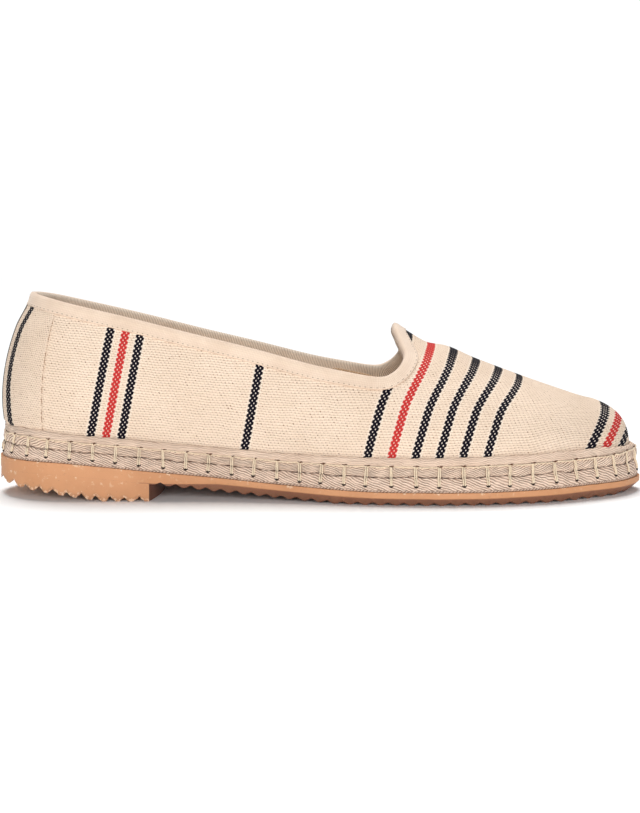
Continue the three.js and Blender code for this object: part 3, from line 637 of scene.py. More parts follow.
def rubber_shade(name):
    """Moulded rubber: pale sides, painted shade on its bevels, underside and breast, and burrs along its
    edges.
    """
    s = Shade(name)
    place = s.place()
    cloud = s.noise(place, 0.05, 4.0)
    grain = s.noise(place, 2.2, 3.0, 0.6)
    speck = s.noise(place, 0.9, 2.0)
    base = s.mix(s.ramp(cloud, 0.3, 0.7), linear(205, 146, 103), linear(216, 156, 112))
    base = s.mix(s.mul(s.ramp(speck, 0.66, 0.76), 0.3), base, linear(150, 104, 74))
    edge_glue, underside_shade, rough = s.field("flecks_shade_and_burrs")
    # painted shade: the bevels, the underside and the breast of the rubber are darkened
    base = s.mix(s.mul(underside_shade, 0.85), base, linear(132, 88, 70))
    flecks = s.mul(s.ramp(s.noise(place, 0.55, 3.0, 0.6), 0.6, 0.66), edge_glue)
    base = s.mix(s.mul(flecks, 0.8), base, linear(240, 214, 182))
    burrs = s.mul(s.ramp(s.noise(place, 0.9, 2.0, 0.6), 0.5, 0.56), s.ramp(rough, 0.4, 0.8))
    base = s.mix(s.mul(burrs, 0.75), base, linear(244, 206, 170))
    s.bump(s.add(s.mul(grain, 0.7), s.mul(speck, 0.3)), 0.10)
    return s.finish(base, s.ramp(grain, 0.3, 0.7, 0.52, 0.66), specular=0.35)


def tape_shade(name):
    """Woven tape of slanted strands.

    Field "tape" holds the run along it, the drop below its fold, and shade.
    Field "gather" holds how near a stitch is, and how much the fold is twisted.
    """
    s = Shade(name)
    run, drop, painted_shade = s.field("tape")
    near, rope, _ = s.field("gather")
    place = s.place()
    wander = s.sub(s.noise(s.vector(s.mul(run, 0.22), s.mul(drop, 0.15), 2.0), 1.0, 2.0), 0.5)
    fine = s.sub(s.noise(s.vector(s.mul(run, 0.9), s.mul(drop, 0.9), 7.0), 1.0, 2.0), 0.5)
    groove_at = s.add(7.2, s.mul(wander, 0.9))
    lower = s.ramp(drop, s.sub(groove_at, 0.05), s.add(groove_at, 0.05))
    selvedge = s.ramp(drop, 12.15, 12.3)
    folded = s.ramp(drop, 3.3, 3.1)
    # Strands rise forward and gather at each stitch above the groove, and fall forward below it
    pinch = s.add(1.0, s.mul(s.power(near, 3.0), 0.55))
    squeezed = s.mul(s.sub(drop, 5.6), pinch)
    slope = s.sub(3.2, s.mul(rope, 2.0))
    sway = s.add(s.mul(wander, 3.5), s.mul(fine, 0.8))
    high = s.mul(s.add(s.add(run, s.mul(squeezed, slope)), sway), 1 / 2.2)
    low = s.mul(s.add(s.sub(run, s.mul(drop, 2.5)), s.add(s.mul(wander, 4.5), s.mul(fine, 0.6))), 1 / 2.5)
    flat = s.mul(s.add(s.mul(run, 0.2), s.add(s.mul(drop, 1.5), s.mul(wander, 2.4))), 1 / 0.95)
    hem = s.mul(s.add(run, s.mul(drop, 1.1)), 1 / 1.3)
    phase = s.add(high, s.mul(lower, s.sub(low, high)))
    phase = s.add(phase, s.mul(folded, s.sub(flat, phase)))
    phase = s.add(s.add(phase, s.mul(selvedge, s.sub(hem, phase))), 400.0)
    crown = s.sin(s.mul(s.fract(phase), math.pi))
    chance = s.random(s.vector(s.floor(phase), lower, 0.0))
    patch = s.ramp(s.noise(s.vector(s.mul(run, 0.3), s.mul(drop, 0.5), 4.0), 1.0, 2.0), 0.3, 0.62, 0.5, 1.0)
    strength = s.mul(patch, s.sub(1.0, s.mul(folded, s.sub(0.5, s.mul(rope, 0.3)))))
    base = s.mix(s.ramp(s.noise(place, 0.06, 3.0), 0.3, 0.7), linear(236, 207, 184), linear(248, 221, 198))
    base = s.mix(s.mul(lower, 0.45), base, linear(250, 219, 199))
    base = s.mix(s.mul(chance, 0.25), base, linear(196, 160, 134))
    # painted shade in the valleys between strands, and a painted highlight on their crowns
    valley = s.mul(s.ramp(crown, 0.82, 0.15), strength)
    base = s.mix(s.mul(valley, 0.78), base, linear(146, 103, 80))
    base = s.mix(s.mul(s.mul(s.ramp(crown, 0.7, 1.0), strength), 0.5), base, linear(255, 234, 212))
    # painted shade in the groove where the running thread lies
    groove = s.ramp(s.abs(s.sub(s.add(drop, s.mul(fine, 0.5)), groove_at)), 0.3, 0.1)
    pulled = s.add(s.mul(near, 0.5), s.add(wander, s.mul(fine, 1.4)))
    groove = s.mul(groove, s.ramp(pulled, -0.2, 0.5, 0.15, 1.0))
    base = s.mix(s.mul(groove, 0.9), base, linear(86, 50, 34))
    # painted shade from the field: in the groove, along the tape's lower edge and where the fold tucks in
    base = s.mix(s.mul(painted_shade, 0.7), base, linear(108, 74, 54))
    s.bump(s.sub(s.mul(s.mul(crown, strength), 0.8), s.mul(groove, 0.5)), 0.5)
    return s.finish(base, 0.88, sheen=0.1, specular=0.2)


def band_shade(name):
    """Binding: fine threads across it; field "band" holds the run along it and the drop from its fold."""
    s = Shade(name)
    run, drop, _ = s.field("band")
    place = s.place()
    wobble = s.mul(s.noise(place, 0.5, 2.0), 0.5)
    ribs = s.sin(s.mul(s.add(run, wobble), 2 * math.pi / 0.6))
    cross = s.sin(s.mul(drop, 2 * math.pi / 0.8))
    base = s.mix(s.ramp(s.noise(place, 0.1, 3.0), 0.3, 0.7), linear(233, 208, 185), linear(243, 220, 198))
    # painted shade between the ribs and between the threads across the binding
    base = s.mix(s.ramp(ribs, 0.2, -1.0, 0.0, 0.3), base, linear(206, 174, 148))
    base = s.mix(s.ramp(cross, 0.2, -1.0, 0.0, 0.2), base, linear(206, 174, 148))
    # painted shade: a darker line along the hem, where the binding turns under onto the canvas
    seam = s.mul(s.ramp(drop, 4.35, 4.55), s.ramp(drop, 5.4, 4.9))
    base = s.mix(s.mul(seam, 0.45), base, linear(176, 140, 110))
    # painted shade in the stitch pinholes
    pin = s.mul(s.sub(s.fract(s.mul(run, 1 / 2.0)), 0.5), 2.0)
    pin2 = s.add(s.power(s.mul(pin, 1 / 0.35), 2.0), s.power(s.mul(s.sub(drop, 3.9), 1 / 0.2), 2.0))
    base = s.mix(s.mul(s.ramp(pin2, 1.4, 0.4), 0.6), base, linear(120, 88, 64))
    s.bump(s.add(s.mul(ribs, 0.35), s.mul(cross, 0.15)), 0.08)
    return s.finish(base, 0.85, sheen=0.25, specular=0.25)


def facing_shade(name):
    """Ribbed tape that faces the collar inside."""
    s = Shade(name)
    run, _, _ = s.field("band")
    place = s.place()
    ribs = s.sin(s.mul(s.add(run, s.mul(s.noise(place, 0.4, 2.0), 0.3)), 2 * math.pi / 0.66))
    base = s.mix(s.ramp(s.noise(place, 0.12, 3.0), 0.3, 0.7), linear(236, 215, 194), linear(248, 229, 208))
    # painted shade between the ribs
    base = s.mix(s.ramp(ribs, 0.4, -0.8, 0.0, 0.75), base, linear(166, 142, 120))
    s.bump(s.add(0.5, s.mul(ribs, 0.5)), 0.15)
    return s.finish(base, 0.85, sheen=0.2, specular=0.25)


def thread_shade(name, r, g, b):
    s = Shade(name)
    place = s.place()
    twist = s.noise(place, 3.0, 2.0)
    base = s.mix(s.ramp(twist, 0.35, 0.65), linear(r * 0.92, g * 0.9, b * 0.88), linear(r, g, b))
    s.bump(twist, 0.08)
    return s.finish(base, 0.8, sheen=0.2, specular=0.3)


def cloth_shade(name, one, two):
    """Plain lining cloth, woven in object space."""
    s = Shade(name)
    place = s.place()
    split = s.nodes.new("ShaderNodeSeparateXYZ")
    s.links.new(place, split.inputs[0])
    a = s.sin(s.mul(split.outputs[0], 2 * math.pi / 1.1))
    b = s.sin(s.mul(split.outputs[1], 2 * math.pi / 1.1))
    weave = s.mul(s.add(s.mul(a, b), 1.0), 0.5)
    base = s.mix(s.ramp(s.noise(place, 0.06, 3.0), 0.3, 0.7), linear(*one), linear(*two))
    base = s.mix(s.mul(weave, 0.18), base, linear(170, 144, 118))
    s.bump(weave, 0.1)
    return s.finish(base, 0.9, sheen=0.2, specular=0.2)


CANVAS = woven("canvas", STRIPES)
BACK_CANVAS = woven("back_canvas", HEEL_STRIPES, row=0.8, brick=1.2, half=2.0, seam=True)
TAPE = tape_shade("tape")
BINDING = band_shade("binding")
FACING = facing_shade("facing")
RUBBER = rubber_shade("rubber")
THREAD = thread_shade("cream_thread", 246, 226, 198)
RUNNING = thread_shade("running_thread", 244, 221, 192)
BROWN = thread_shade("brown_thread", 108, 72, 50)
# painted shadow: dark threads that stand for the shade inside the stitch holes
HOLE_SHADE = thread_shade("painted_hole_shade", 50, 30, 22)
BRAID = thread_shade("braid_thread", 186, 154, 122)
FOOTBED = cloth_shade("footbed", (208, 188, 166), (224, 205, 184))


# Canvas upper

RIB_T = np.linspace(0, TURN, TURN * 8 + 1)
RIB_B = np.linspace(0, 1, 81)
RIBS = surface(RIB_T[:, None], RIB_B[None, :])
RIB_ARC = np.concatenate([np.zeros((len(RIB_T), 1)),
                          np.cumsum(np.linalg.norm(np.diff(RIBS, axis=1), axis=-1), axis=1)], axis=1)
RIB_MEAN = (RIB_ARC[:, -1] + RIB_ARC[::-1, -1]) / 2
RIB_LENGTH = RIB_ARC / RIB_ARC[:, -1:] * RIB_MEAN[:, None]


def rib(t, b):
    """Length of cloth from the foot of the upper to (t, b)."""
    u = np.clip(np.asarray(t, float) % TURN, 0, TURN) * 8
    v = np.clip(b, 0, 1) * 80
    i, j = np.minimum(u.astype(int), TURN * 8 - 1), np.minimum(v.astype(int), 79)
    p, q = u - i, v - j
    table = RIB_LENGTH
    return ((table[i, j] * (1 - q) + table[i, j + 1] * q) * (1 - p)
            + (table[i + 1, j] * (1 - q) + table[i + 1, j + 1] * q) * p)


def curve(knots, window=0.04):
    """A smooth function through knots, from 0 to 1."""
    x = np.linspace(0, 1, 401)
    y = np.interp(x, *zip(*knots))
    k = int(window * 400) | 1
    for _ in range(2):
        y = np.convolve(np.pad(y, k // 2, mode="reflect", reflect_type="odd"), np.ones(k) / k, mode="valid")
    return lambda q: np.interp(q, x, y)


# How far a stripe leans forward, by the share of the way from the sole to the crest
VAMP_LEAN = curve([(0, 0), (0.12, 1.9), (0.18, 3.2), (0.26, 4.8), (0.33, 6.4), (0.4, 8.5), (0.5, 11.6),
                   (0.62, 14.5), (0.75, 16.3), (0.87, 17.5), (1, 18)])
TOE_LEAN = curve([(0, 0), (0.08, 2.0), (0.16, 3.8), (0.24, 5.5), (0.34, 7.4), (0.47, 9.3),
                  (0.67, 10.8), (1, 11.5)])
QUARTER_LEAN = 0.187  # for each mm of height

# Crest of the upper from the throat to the toe and down to its foot
CREST_T = np.linspace(THROAT_START, LAST, 200)
RIDGE = np.concatenate([surface(CREST_T, np.ones(200)),
                        surface(np.full(60, float(LAST)), np.linspace(1, 0, 60))])
EDGE_T = np.linspace(THROAT_START, LAST, 300)
OUTER_X, OUTER_Y, _, _ = edge(EDGE_T, FEATHER_INSET)


def across_toe(side, points):
    """Length of cloth along a stripe over the toe, from the outer foot of the upper."""
    x, y, z = points[..., 0], points[..., 1], points[..., 2]
    foot = PLATFORM + OUTSOLE
    crest = np.interp(x, RIDGE[:, 0], RIDGE[:, 2])
    rise = z - foot if side < 0 else 2 * crest - z - foot
    return 0.86 * (rise + y - np.interp(x, OUTER_X, OUTER_Y))


def cloth_fields(side, t, b, points):
    """Place across the stripes and along them, and how near the crest of the vamp it is."""
    length = rib(t, b)
    x = points[..., 0]
    total = np.interp(np.asarray(t) % TURN, RIB_T, RIB_MEAN)
    q = length / total
    lean = mix(QUARTER_LEAN * length, VAMP_LEAN(q), smooth((x - 118) / 36))
    lean = mix(lean, TOE_LEAN(q), smooth((x - 200) / 30))
    v = length if side < 0 else 2 * total - length
    v = mix(v, across_toe(side, points), smooth((x - 206) / 22))
    return np.stack([x - lean, v, smooth((q - 0.6) / 0.24) * smooth((x - 120) / 30)], axis=-1)


# Soft ridges (and troughs, below 0): place along the shoe, length of cloth above its foot,
# direction in degrees, half length, half width, height
CREASES = [(158, 20, 62, 16, 4.5, 0.26), (168, 24, 58, 17, 4.0, -0.24), (178, 20, 55, 15, 4.5, 0.22),
           (196, 26, 48, 14, 5.0, -0.2), (210, 16, 30, 16, 5.0, 0.2), (226, 20, 62, 9, 4.0, -0.22),
           (120, 14, 8, 26, 5.0, -0.22), (96, 24, -6, 22, 5.5, 0.2), (70, 16, 12, 20, 5.0, -0.2),
           (34, 26, 74, 14, 5.0, 0.22), (22, 14, 20, 12, 4.0, -0.2), (143, 10, 76, 9, 3.6, -0.24)]


def crease(side, t, b, points):
    """How far the cloth stands off its form, by soft troughs and ridges."""
    length, x = rib(t, b), points[..., 0] + 2.5 * side
    off = 0 * b
    for at, up, angle, reach, width, height in CREASES:
        c, s = math.cos(math.radians(angle)), math.sin(math.radians(angle))
        along, across = (x - at) * c + (length - up) * s, (length - up) * c - (x - at) * s
        off = off + height * np.exp(-(along / reach) ** 2 - (across / width) ** 2)
    return off * smooth(length / 5) * smooth((1 - b) / 0.15)


def canvas_half(side, columns, rows, offset):
    tau = (lambda t: t) if side < 0 else (lambda t: TURN - t)
    index = np.linspace(0, STATIONS, columns)
    top_t, top_b = top_boundary(side, index)
    share = np.linspace(0, 1, rows)[None, :]
    t = tau(mix(index[:, None] / SLICES, top_t[:, None], share))
    b = top_b[:, None] * share
    out = surface(t, b)
    n = normal(t, b)
    points = out + n * (offset + crease(side, t, b, out))[..., None]
    if offset < 0:
        points[:, 0, 2] = out[:, 0, 2]
    return points, cloth_fields(side, t, b, out)


def upper_canvas():
    columns = 481
    parts, fields, start = [], [], 0
    faces = []
    for side in (-1, 1):
        sheets = []
        for rows, offset in ((61, 0.0), (15, -WALL)):
            points, field = canvas_half(side, columns, rows, offset)
            parts.append(points.reshape(-1, 3))
            fields.append(field.reshape(-1, 3))
            faces.extend(grid_faces(columns, rows, start=start))
            sheets.append((start, rows))
            start += columns * rows
        (a, n), (c, m) = sheets
        rim = int((columns - 1) * RIM_STATION / STATIONS)
        for i in range(columns - 1):
            faces.append((a + i * n, a + (i + 1) * n, c + (i + 1) * m, c + i * m))
            if i < rim:
                faces.append((a + i * n + n - 1, a + (i + 1) * n + n - 1,
                              c + (i + 1) * m + m - 1, c + i * m + m - 1))
    return make("upper_canvas", np.concatenate(parts), faces, CANVAS, ["upper"],
                {"cloth": np.concatenate(fields)})


def nearest(t, b, target, steps=5):
    """The (t, b) on the upper nearest to each target, from a first guess."""
    e = 1e-3
    for _ in range(steps):
        p = surface(t, b)
        dt = (surface(t + e, b) - surface(t - e, b)) / (2 * e)
        db = (surface(t, b + e) - surface(t, b - e)) / (2 * e)
        r = target - p
        a11, a12, a22 = (dt * dt).sum(-1) + 1e-6, (dt * db).sum(-1), (db * db).sum(-1) + 1e-6
        c1, c2 = (dt * r).sum(-1), (db * r).sum(-1)
        det = a11 * a22 - a12 * a12
        t = t + np.clip((c1 * a22 - c2 * a12) / det, -0.5, 0.5)
        b = np.clip(b + np.clip((a11 * c2 - a12 * c1) / det, -0.2, 0.2), 0.0, 1.0)
    return t, b


def rim_loop(per=10):
    """Around the collar: (t, b), place, normal, and the way down from its edge."""
    count = RIM_STATION * per
    index = np.arange(count + 1) / per
    ts, bs = [], []
    for side in (-1, 1):
        t, b = top_boundary(side, index)
        if side > 0:
            t, b = TURN - t[::-1], b[::-1]
            t, b = t[1:-1], b[1:-1]
        ts.append(t)
        bs.append(b)
    t, b = np.concatenate(ts), np.concatenate(bs)
    p = surface(t, b)
    along = unit(np.roll(p, -1, 0) - np.roll(p, 1, 0))
    n = normal(t, b)
    down = unit(np.cross(along, n))
    if down[0, 2] > 0:
        down = -down
    run = arc(p)
    return t, b, p, n, down, run


RIM_T, RIM_B, RIM_P, RIM_N, RIM_DOWN, RIM_RUN = rim_loop()


def below_rim(drop):
    """Places on the upper's outer face, drop below the collar's edge: their (t, b), point and normal."""
    t, b = RIM_T.copy(), RIM_B.copy()
    steps = max(1, int(math.ceil(drop / 2.0)))
    side = RIM_T <= LAST
    for k in range(steps):
        t, b = nearest(t, b, RIM_P + RIM_DOWN * (drop * (k + 1) / steps))
        t = np.where(side, np.clip(t, -LAST, LAST), np.clip(t, LAST, TURN + LAST))
    return t, b, surface(t, b), normal(t, b)


def over_rim(angle, reach, rise):
    """Row of points round the collar's edge, at an angle over the cloth from its outer face."""
    return RIM_P + RIM_N * (reach * math.cos(angle) - WALL / 2) - RIM_DOWN * rise * math.sin(angle)


def rim_field(places):
    """Field "band" of rows round the collar: the run along it and each row's place."""
    field = np.zeros((len(RIM_RUN), len(places), 3))
    field[..., 0] = RIM_RUN[:, None]
    field[..., 1] = places
    return field


def collar_band():
    far = GAP + BAND_THICKNESS
    drops = [0.0, 0.8, 1.6, 2.4, 3.2, 3.9, 4.5]
    legs = [(RIM_P, RIM_N)] + [below_rim(d)[2:] for d in drops[1:]]
    rows, places = [], []
    hem_p, hem_n = legs[-1]
    rows.append(hem_p + hem_n * 0.05 + RIM_DOWN * 0.15)
    places.append(4.7)
    for (p, n), d in list(zip(legs, drops))[::-1]:
        puff = mix(far - 0.15, 0.42, smooth((d - 0.6) / 2.6))
        rows.append(p + n * puff)
        places.append(d)
    for angle in np.linspace(0, math.pi, 7)[1:-1]:
        rows.append(over_rim(angle, far + WALL / 2, far + 0.1))
        places.append(-1.0)
    for (p, n), d in zip(legs, drops):
        rows.append(p - n * (WALL + far))
        places.append(d + 10)
    rows.append(hem_p - hem_n * (WALL + 0.25))
    places.append(15.0)
    grid = np.stack(rows, axis=1)
    faces = grid_faces(*grid.shape[:2], wrap_n=True, wrap_m=True)
    return make("collar_band", grid, faces, BINDING, ["collar_binding"],
                {"band": rim_field(places)})


def facing():
    drops = [0.6, 2.5, 4.5, 7, 10, 13, 16, 19, 22]
    far = GAP + BAND_THICKNESS
    rows = []
    for angle in (1.75, 2.1, 2.5, 2.85):
        rows.append(over_rim(angle, far + WALL / 2 + 0.12, far + 0.25))
    for d in drops:
        _, _, p, n = below_rim(d)
        over = 1.25 if d < 5 else mix(1.25, 0.25, min(1, (d - 5) / 3))
        rows.append(p - n * (WALL + over))
    rows.append(rows[-1] + n * 0.24)
    grid = np.stack(rows, axis=1)
    field = rim_field([-1.4, -1.0, -0.5, 0.0] + drops + [22.3])
    return make("collar_facing", grid, grid_faces(*grid.shape[:2], wrap_n=True), FACING, [],
                {"band": field})


def collar_braid():
    """Looped edge of the facing, where it shows inside the low part of the outer rim."""
    far = GAP + BAND_THICKNESS
    outer = np.arange(len(RIM_P) // 2)
    first = int(np.argmax(RIM_P[outer, 0] > 127))
    last = int(np.argmax(RIM_P[outer, 0] > 154.5))
    pick = np.arange(first, last)
    run = RIM_RUN[pick]
    fine = np.linspace(run[0], run[-1], 420)
    at = lambda v: np.stack([np.interp(fine, run, v[pick, k]) for k in range(3)], axis=-1)
    p, n = at(RIM_P), unit(at(RIM_N))
    spine = p - n * (WALL + far * 0.5)
    fade = np.minimum(smooth((fine - fine[0]) / 9), smooth((fine[-1] - fine) / 9))[:, None]
    parts = []
    for turn in (0.0, math.pi):
        wave = (fine * 2 * math.pi / 2.1 + turn)[:, None]
        lift = 0.6 + (1.2 + 0.55 * np.sin(wave)) * fade
        parts.append(sweep(spine + lift * np.array([0.0, 0.0, 1.0]) - n * 0.22 * np.cos(wave),
                           0.3 * fade[:, 0] + 0.02))
    points, faces = joined(parts)
    make("collar_braid", points, faces, BRAID)


def backstay_panel():
    columns, rows = 161, 70
    across = np.linspace(-BACKSTAY_REACH, BACKSTAY_REACH, columns)
    t = np.where(across < 0, TURN + across, across)
    rim_b = rear_rim(t % TURN)
    rim_p = surface(t, rim_b)
    down = unit(surface(t, rim_b - 0.01) - rim_p)
    top_t, top_b = nearest(t.copy(), rim_b - 0.08, rim_p + down * (BAND - 0.5), 8)
    low_b = wall_at(t % TURN, WELT_HEIGHT - 0.2)
    share = np.linspace(0, 1, rows)[None, :]
    tt, bb = mix(t[:, None], top_t[:, None], share), mix(low_b[:, None], top_b[:, None], share)
    p, n = surface(tt, bb), normal(tt, bb)
    edge_fall = smooth((np.abs(across) - BACKSTAY_REACH + 0.06) / 0.06)
    lift = (GAP + BACKSTAY_THICKNESS) * (1 - edge_fall)[:, None] + 0.02
    lift = lift * np.where(share < 0.02, 0.6, 1.0) * (1 - 0.74 * smooth((share - 0.78) / 0.2))
    outer = p + n * lift[..., None]
    seg = np.linalg.norm(np.diff(p, axis=0), axis=-1)
    w = np.concatenate([np.zeros((1, rows)), np.cumsum(seg, axis=0)])
    w = w - w[columns // 2][None, :]
    u = w * (1 + 0.3 * np.clip((p[..., 2] - 36) / 40, 0, 1))
    rim = np.where(across[:, None] < 0, w - w[:1], w[-1:] - w)
    field = np.stack([u, rib(tt, bb), rim], axis=-1)
    return make("backstay_panel", outer, grid_faces(columns, rows), BACK_CANVAS, ["backstay"],
                {"cloth": field})


# Platform of tape under its fold

LOOP_T = np.linspace(0, TURN, TURN * 60 + 1)
LX, LY, _, _ = edge(LOOP_T, 1.0)
LOOP_RUN = arc(np.stack([LX, LY], axis=-1))
PERIMETER = float(LOOP_RUN[-1])


def t_at(run):
    return np.interp(np.asarray(run, float) % PERIMETER, LOOP_RUN, LOOP_T)


LATERAL_STITCHES = np.interp(np.arange(30), [0, 8, 16, 24, 28], [20.9, 92.5, 162.7, 236.0, 276.5])[:29]
TOE_RUN = float(np.interp(LAST, LOOP_T, LOOP_RUN))


def stitch_runs():
    """Where each stitch crosses the tape, as run along the outline."""
    lateral = LATERAL_STITCHES
    front = lateral[-1] + 9.6 * np.arange(1, 4)
    medial = PERIMETER - lateral[::-1] * (PERIMETER - TOE_RUN) / TOE_RUN
    medial = medial[medial > front[-1] + 7]
    back = np.array([1.6, 11.2])
    medial = medial[medial < PERIMETER - 12]
    return np.concatenate([back, lateral, front, medial, [PERIMETER - 8.4]])


STITCHES = stitch_runs()


def pucker(run):
    """1 at a stitch, 0 half way between two."""
    at = np.sort(np.concatenate([STITCHES - PERIMETER, STITCHES, STITCHES + PERIMETER]))
    k = np.searchsorted(at, run) - 1
    u = (run - at[k]) / (at[k + 1] - at[k])
    return np.abs(2 * u - 1)


def end_trim(t):
    """Extra inset at the back of the heel, and less at the tip of the toe."""
    t = np.asarray(t, float) % TURN
    from_heel = np.minimum(t, TURN - t)
    return 0.7 * np.exp(-(from_heel / 1.3) ** 2) - 0.5 * np.exp(-((t - LAST) / 0.8) ** 2)


def twist(t):
    """How much the fold is twisted like rope: at the heel and toe."""
    t = np.asarray(t, float) % TURN
    from_heel = np.minimum(t, TURN - t)
    return np.clip(np.exp(-(from_heel / 3.0) ** 2) + np.exp(-((t - LAST) / 2.6) ** 2), 0, 1)


def tape_profile(run, drop):
    """Inset of the tape's face, for its drop below the fold's top."""
    d = np.asarray(drop, float)
    near = pucker(run)
    bulge_upper = np.sin(math.pi * np.clip((d - 3.1) / 4.1, 0, 1)) ** 0.7
    bulge_lower = np.sin(math.pi * np.clip((d - 7.2) / 6.0, 0, 1)) ** 0.7
    lean = TAPE_LEAN * np.clip((13.0 - d) / 9.7, 0, 1)
    draw = 0.75 * near ** 5 * np.exp(-((d - 5.6) / 3.6) ** 2)
    wave = bumpy(run - 1.2 * d, 3, 2.4)
    draw = draw + 0.14 * bumpy(run + 2.2 * d, 4, 1.9) * (d < 7.4)
    return (TAPE_INSET + TAPE_RELIEF + 0.25 + lean + draw + end_trim(t_at(run))
            - (0.85 + 0.15 * wave) * bulge_upper * (1 - 0.5 * near ** 3)
            - 0.75 * bulge_lower)


def tape_point(run, drop, proud=0.0):
    t = t_at(run)
    scale = col("platform", t)
    x, y, _, _ = edge(t, tape_profile(run, drop) - proud)
    return np.stack([x, y, welt_top(t) - drop * scale], axis=-1)


def gathers(run, m):
    return np.repeat(np.stack([pucker(run), twist(t_at(run))], axis=-1)[:, None], m, axis=1)


def tape_platform():
    n = 900
    run = np.arange(n) / n * PERIMETER
    drops = np.concatenate([[12.95], np.linspace(12.8, 7.6, 12), [7.4, 7.2, 7.0], np.linspace(6.8, 3.3, 9)])
    wavy = 0.35 * bumpy(run, 11, 4.5) + 0.25 * (1 - pucker(run) ** 2)
    rows, fields = [], []
    for d in drops:
        shift = wavy * math.exp(-((d - 7.2) / 2.2) ** 2)
        p = tape_point(run, np.full(n, d) + shift)
        rows.append(p)
        # painted shade in the groove and along the lower edge of the tape
        groove = 0.35 + 0.55 * pucker(run) ** 2 + 0.3 * bumpy(run, 13, 2.2)
        painted_shade = groove * math.exp(-((d - 7.2) / 0.24) ** 2) + 0.8 * math.exp(-((d - 13.0) / 0.22) ** 2)
        fields.append(np.stack([run, np.full(n, d), painted_shade], axis=-1))
    inner = []
    for d in (3.3, 12.95):
        t = t_at(run)
        x, y, _, _ = edge(t, 6.0)
        inner.append(np.stack([x, y, welt_top(t) - d * col("platform", t)], axis=-1))
        fields.append(np.stack([run, np.full(n, d), np.zeros(n)], axis=-1))
    grid = np.stack(rows + inner, axis=1)
    field = np.stack(fields, axis=1)
    m = grid.shape[1]
    return make("tape_platform", grid, grid_faces(n, m, wrap_n=True, wrap_m=True), TAPE, ["midsole"],
                {"tape": field, "gather": gathers(run, m)})


def welt_fold():
    n = 900
    run = np.arange(n) / n * PERIMETER
    t = t_at(run)
    base = feather(t)
    near = pucker(run)
    toe = smooth((LAST - np.abs(t - LAST) - 11.8) / 2.2)  # the fold slopes down over the toe
    lip_height = 0.84 - 0.6 * toe
    lip_b = wall_at(t, WELT_HEIGHT * lip_height)
    lip = surface(t, lip_b) + normal(t, lip_b) * 0.25
    x, y, _, _ = edge(t, TAPE_INSET + TAPE_LEAN + 0.35 + 0.25 * near ** 3 + end_trim(t))
    lump = 0.2 * bumpy(run, 5, 2.6) + 0.12 * twist(t) * np.sin(run * 2 * math.pi / 2.6)
    shape = [(0.10, -0.12), (-0.02, 0.08), (-0.04, 0.28), (0.02, 0.5), (0.14, 0.7), (0.32, 0.87),
             (0.55, 0.97), (0.8, 0.97), (1.0, 0.86)]
    rows, fields = [], []
    for share, height in shape:
        sloped = -0.12 + (lip_height + 0.14) * np.clip(share + 0.04, 0, 1) ** 0.75 + 0.12 * (height - 0.4)
        tall = mix(height, sloped, toe)
        p = np.stack([mix(x, lip[:, 0], share), mix(y, lip[:, 1], share),
                      base + WELT_HEIGHT * tall + lump * smooth(2 * height)], axis=-1)
        rows.append(p)
        shade = 0.45 * smooth((share - 0.85) / 0.15) + 0.35 * smooth((0.02 - height) / 0.1)
        fields.append(np.stack([run, np.full(n, 3.3 * (1 - height)), np.full(n, shade)], axis=-1))
    foot = surface(t, np.zeros(n)) + normal(t, np.zeros(n)) * 0.3
    foot[:, 2] = base - 0.1
    rows.append(foot)
    fields.append(np.stack([run, np.full(n, 3.3), np.ones(n)], axis=-1))
    grid, field = np.stack(rows, axis=1), np.stack(fields, axis=1)
    m = grid.shape[1]
    return make("welt_fold", grid, grid_faces(n, m, wrap_n=True, wrap_m=True), TAPE, ["welt"],
                {"tape": field, "gather": gathers(run, m)})


def stitches():
    cream, brown, hole_shadows = [], [], []
    for run in STITCHES:
        tilt = RNG.uniform(-0.5, 0.5)
        spread = RNG.uniform(0.28, 0.4)
        reach = RNG.uniform(10.2, 10.7)
        drops = np.linspace(3.1, reach, 12)
        bow = np.sin(np.linspace(0, math.pi, 12))
        for half in (-1, 1):
            along = run + half * spread * (0.75 + 0.25 * bow) + tilt * np.linspace(0, 1, 12)
            cream.append(sweep(tape_point(along, drops, 0.25 + 0.35 * bow), 0.3))
        for half, far, thick in ((-1, RNG.uniform(0.7, 1.1), 0.6), (1, RNG.uniform(1.2, 1.6), 1.0)):
            knot = run + half * np.linspace(-0.1, far, 5)
            brown.append(sweep(tape_point(knot, 3.0 + 0.25 * np.linspace(1, 0, 5), 0.5),
                               np.array([0.18, 0.36, 0.42, 0.32, 0.1]) * thick))
        # painted shadow in the hole where each stitch enters the tape
        wide = np.linspace(-0.85, 0.85, 7)
        hole_shadows.append(sweep(tape_point(run + tilt + wide, reach + 0.25 - 0.35 * wide ** 2, 0.02),
                          [0.12, 0.38, 0.56, 0.66, 0.56, 0.38, 0.12]))
    n = 900
    run = np.arange(n) / n * PERIMETER
    sag = 3.35 + 0.15 * bumpy(run, 21, 3.0) + 0.12 * (1 - pucker(run))
    thick = 0.28 + 0.08 * bumpy(run, 23, 4.0)
    along = [sweep(tape_point(run, sag, 0.42 + 0.16 * bumpy(run, 25, 5.0)), thick, closed=True)]
    for name, parts, material in (("blanket_stitches", cream, THREAD), ("stitch_knots", brown, BROWN),
                                  ("painted_hole_shadows", hole_shadows, HOLE_SHADE), ("running_thread", along, RUNNING)):
        points, faces = joined(parts)
        make(name, points, faces, material)


# Rubber outsole and heel

CRISP = 28  # degrees between faces, from which an edge is sharp


def comb(x, start, end, pitch, depth, land=RIPPLE_LAND):
    """Height cut away over x by a row of ripples."""
    i = np.floor((x - start) / pitch)
    centre = start + (i + 0.5) * pitch
    half = (pitch - land) / 2
    inside = (x >= start) & (centre + half <= end) & (i >= 0)
    return np.where(inside, depth * np.maximum(0, 1 - np.abs(x - centre) / half), 0.0)


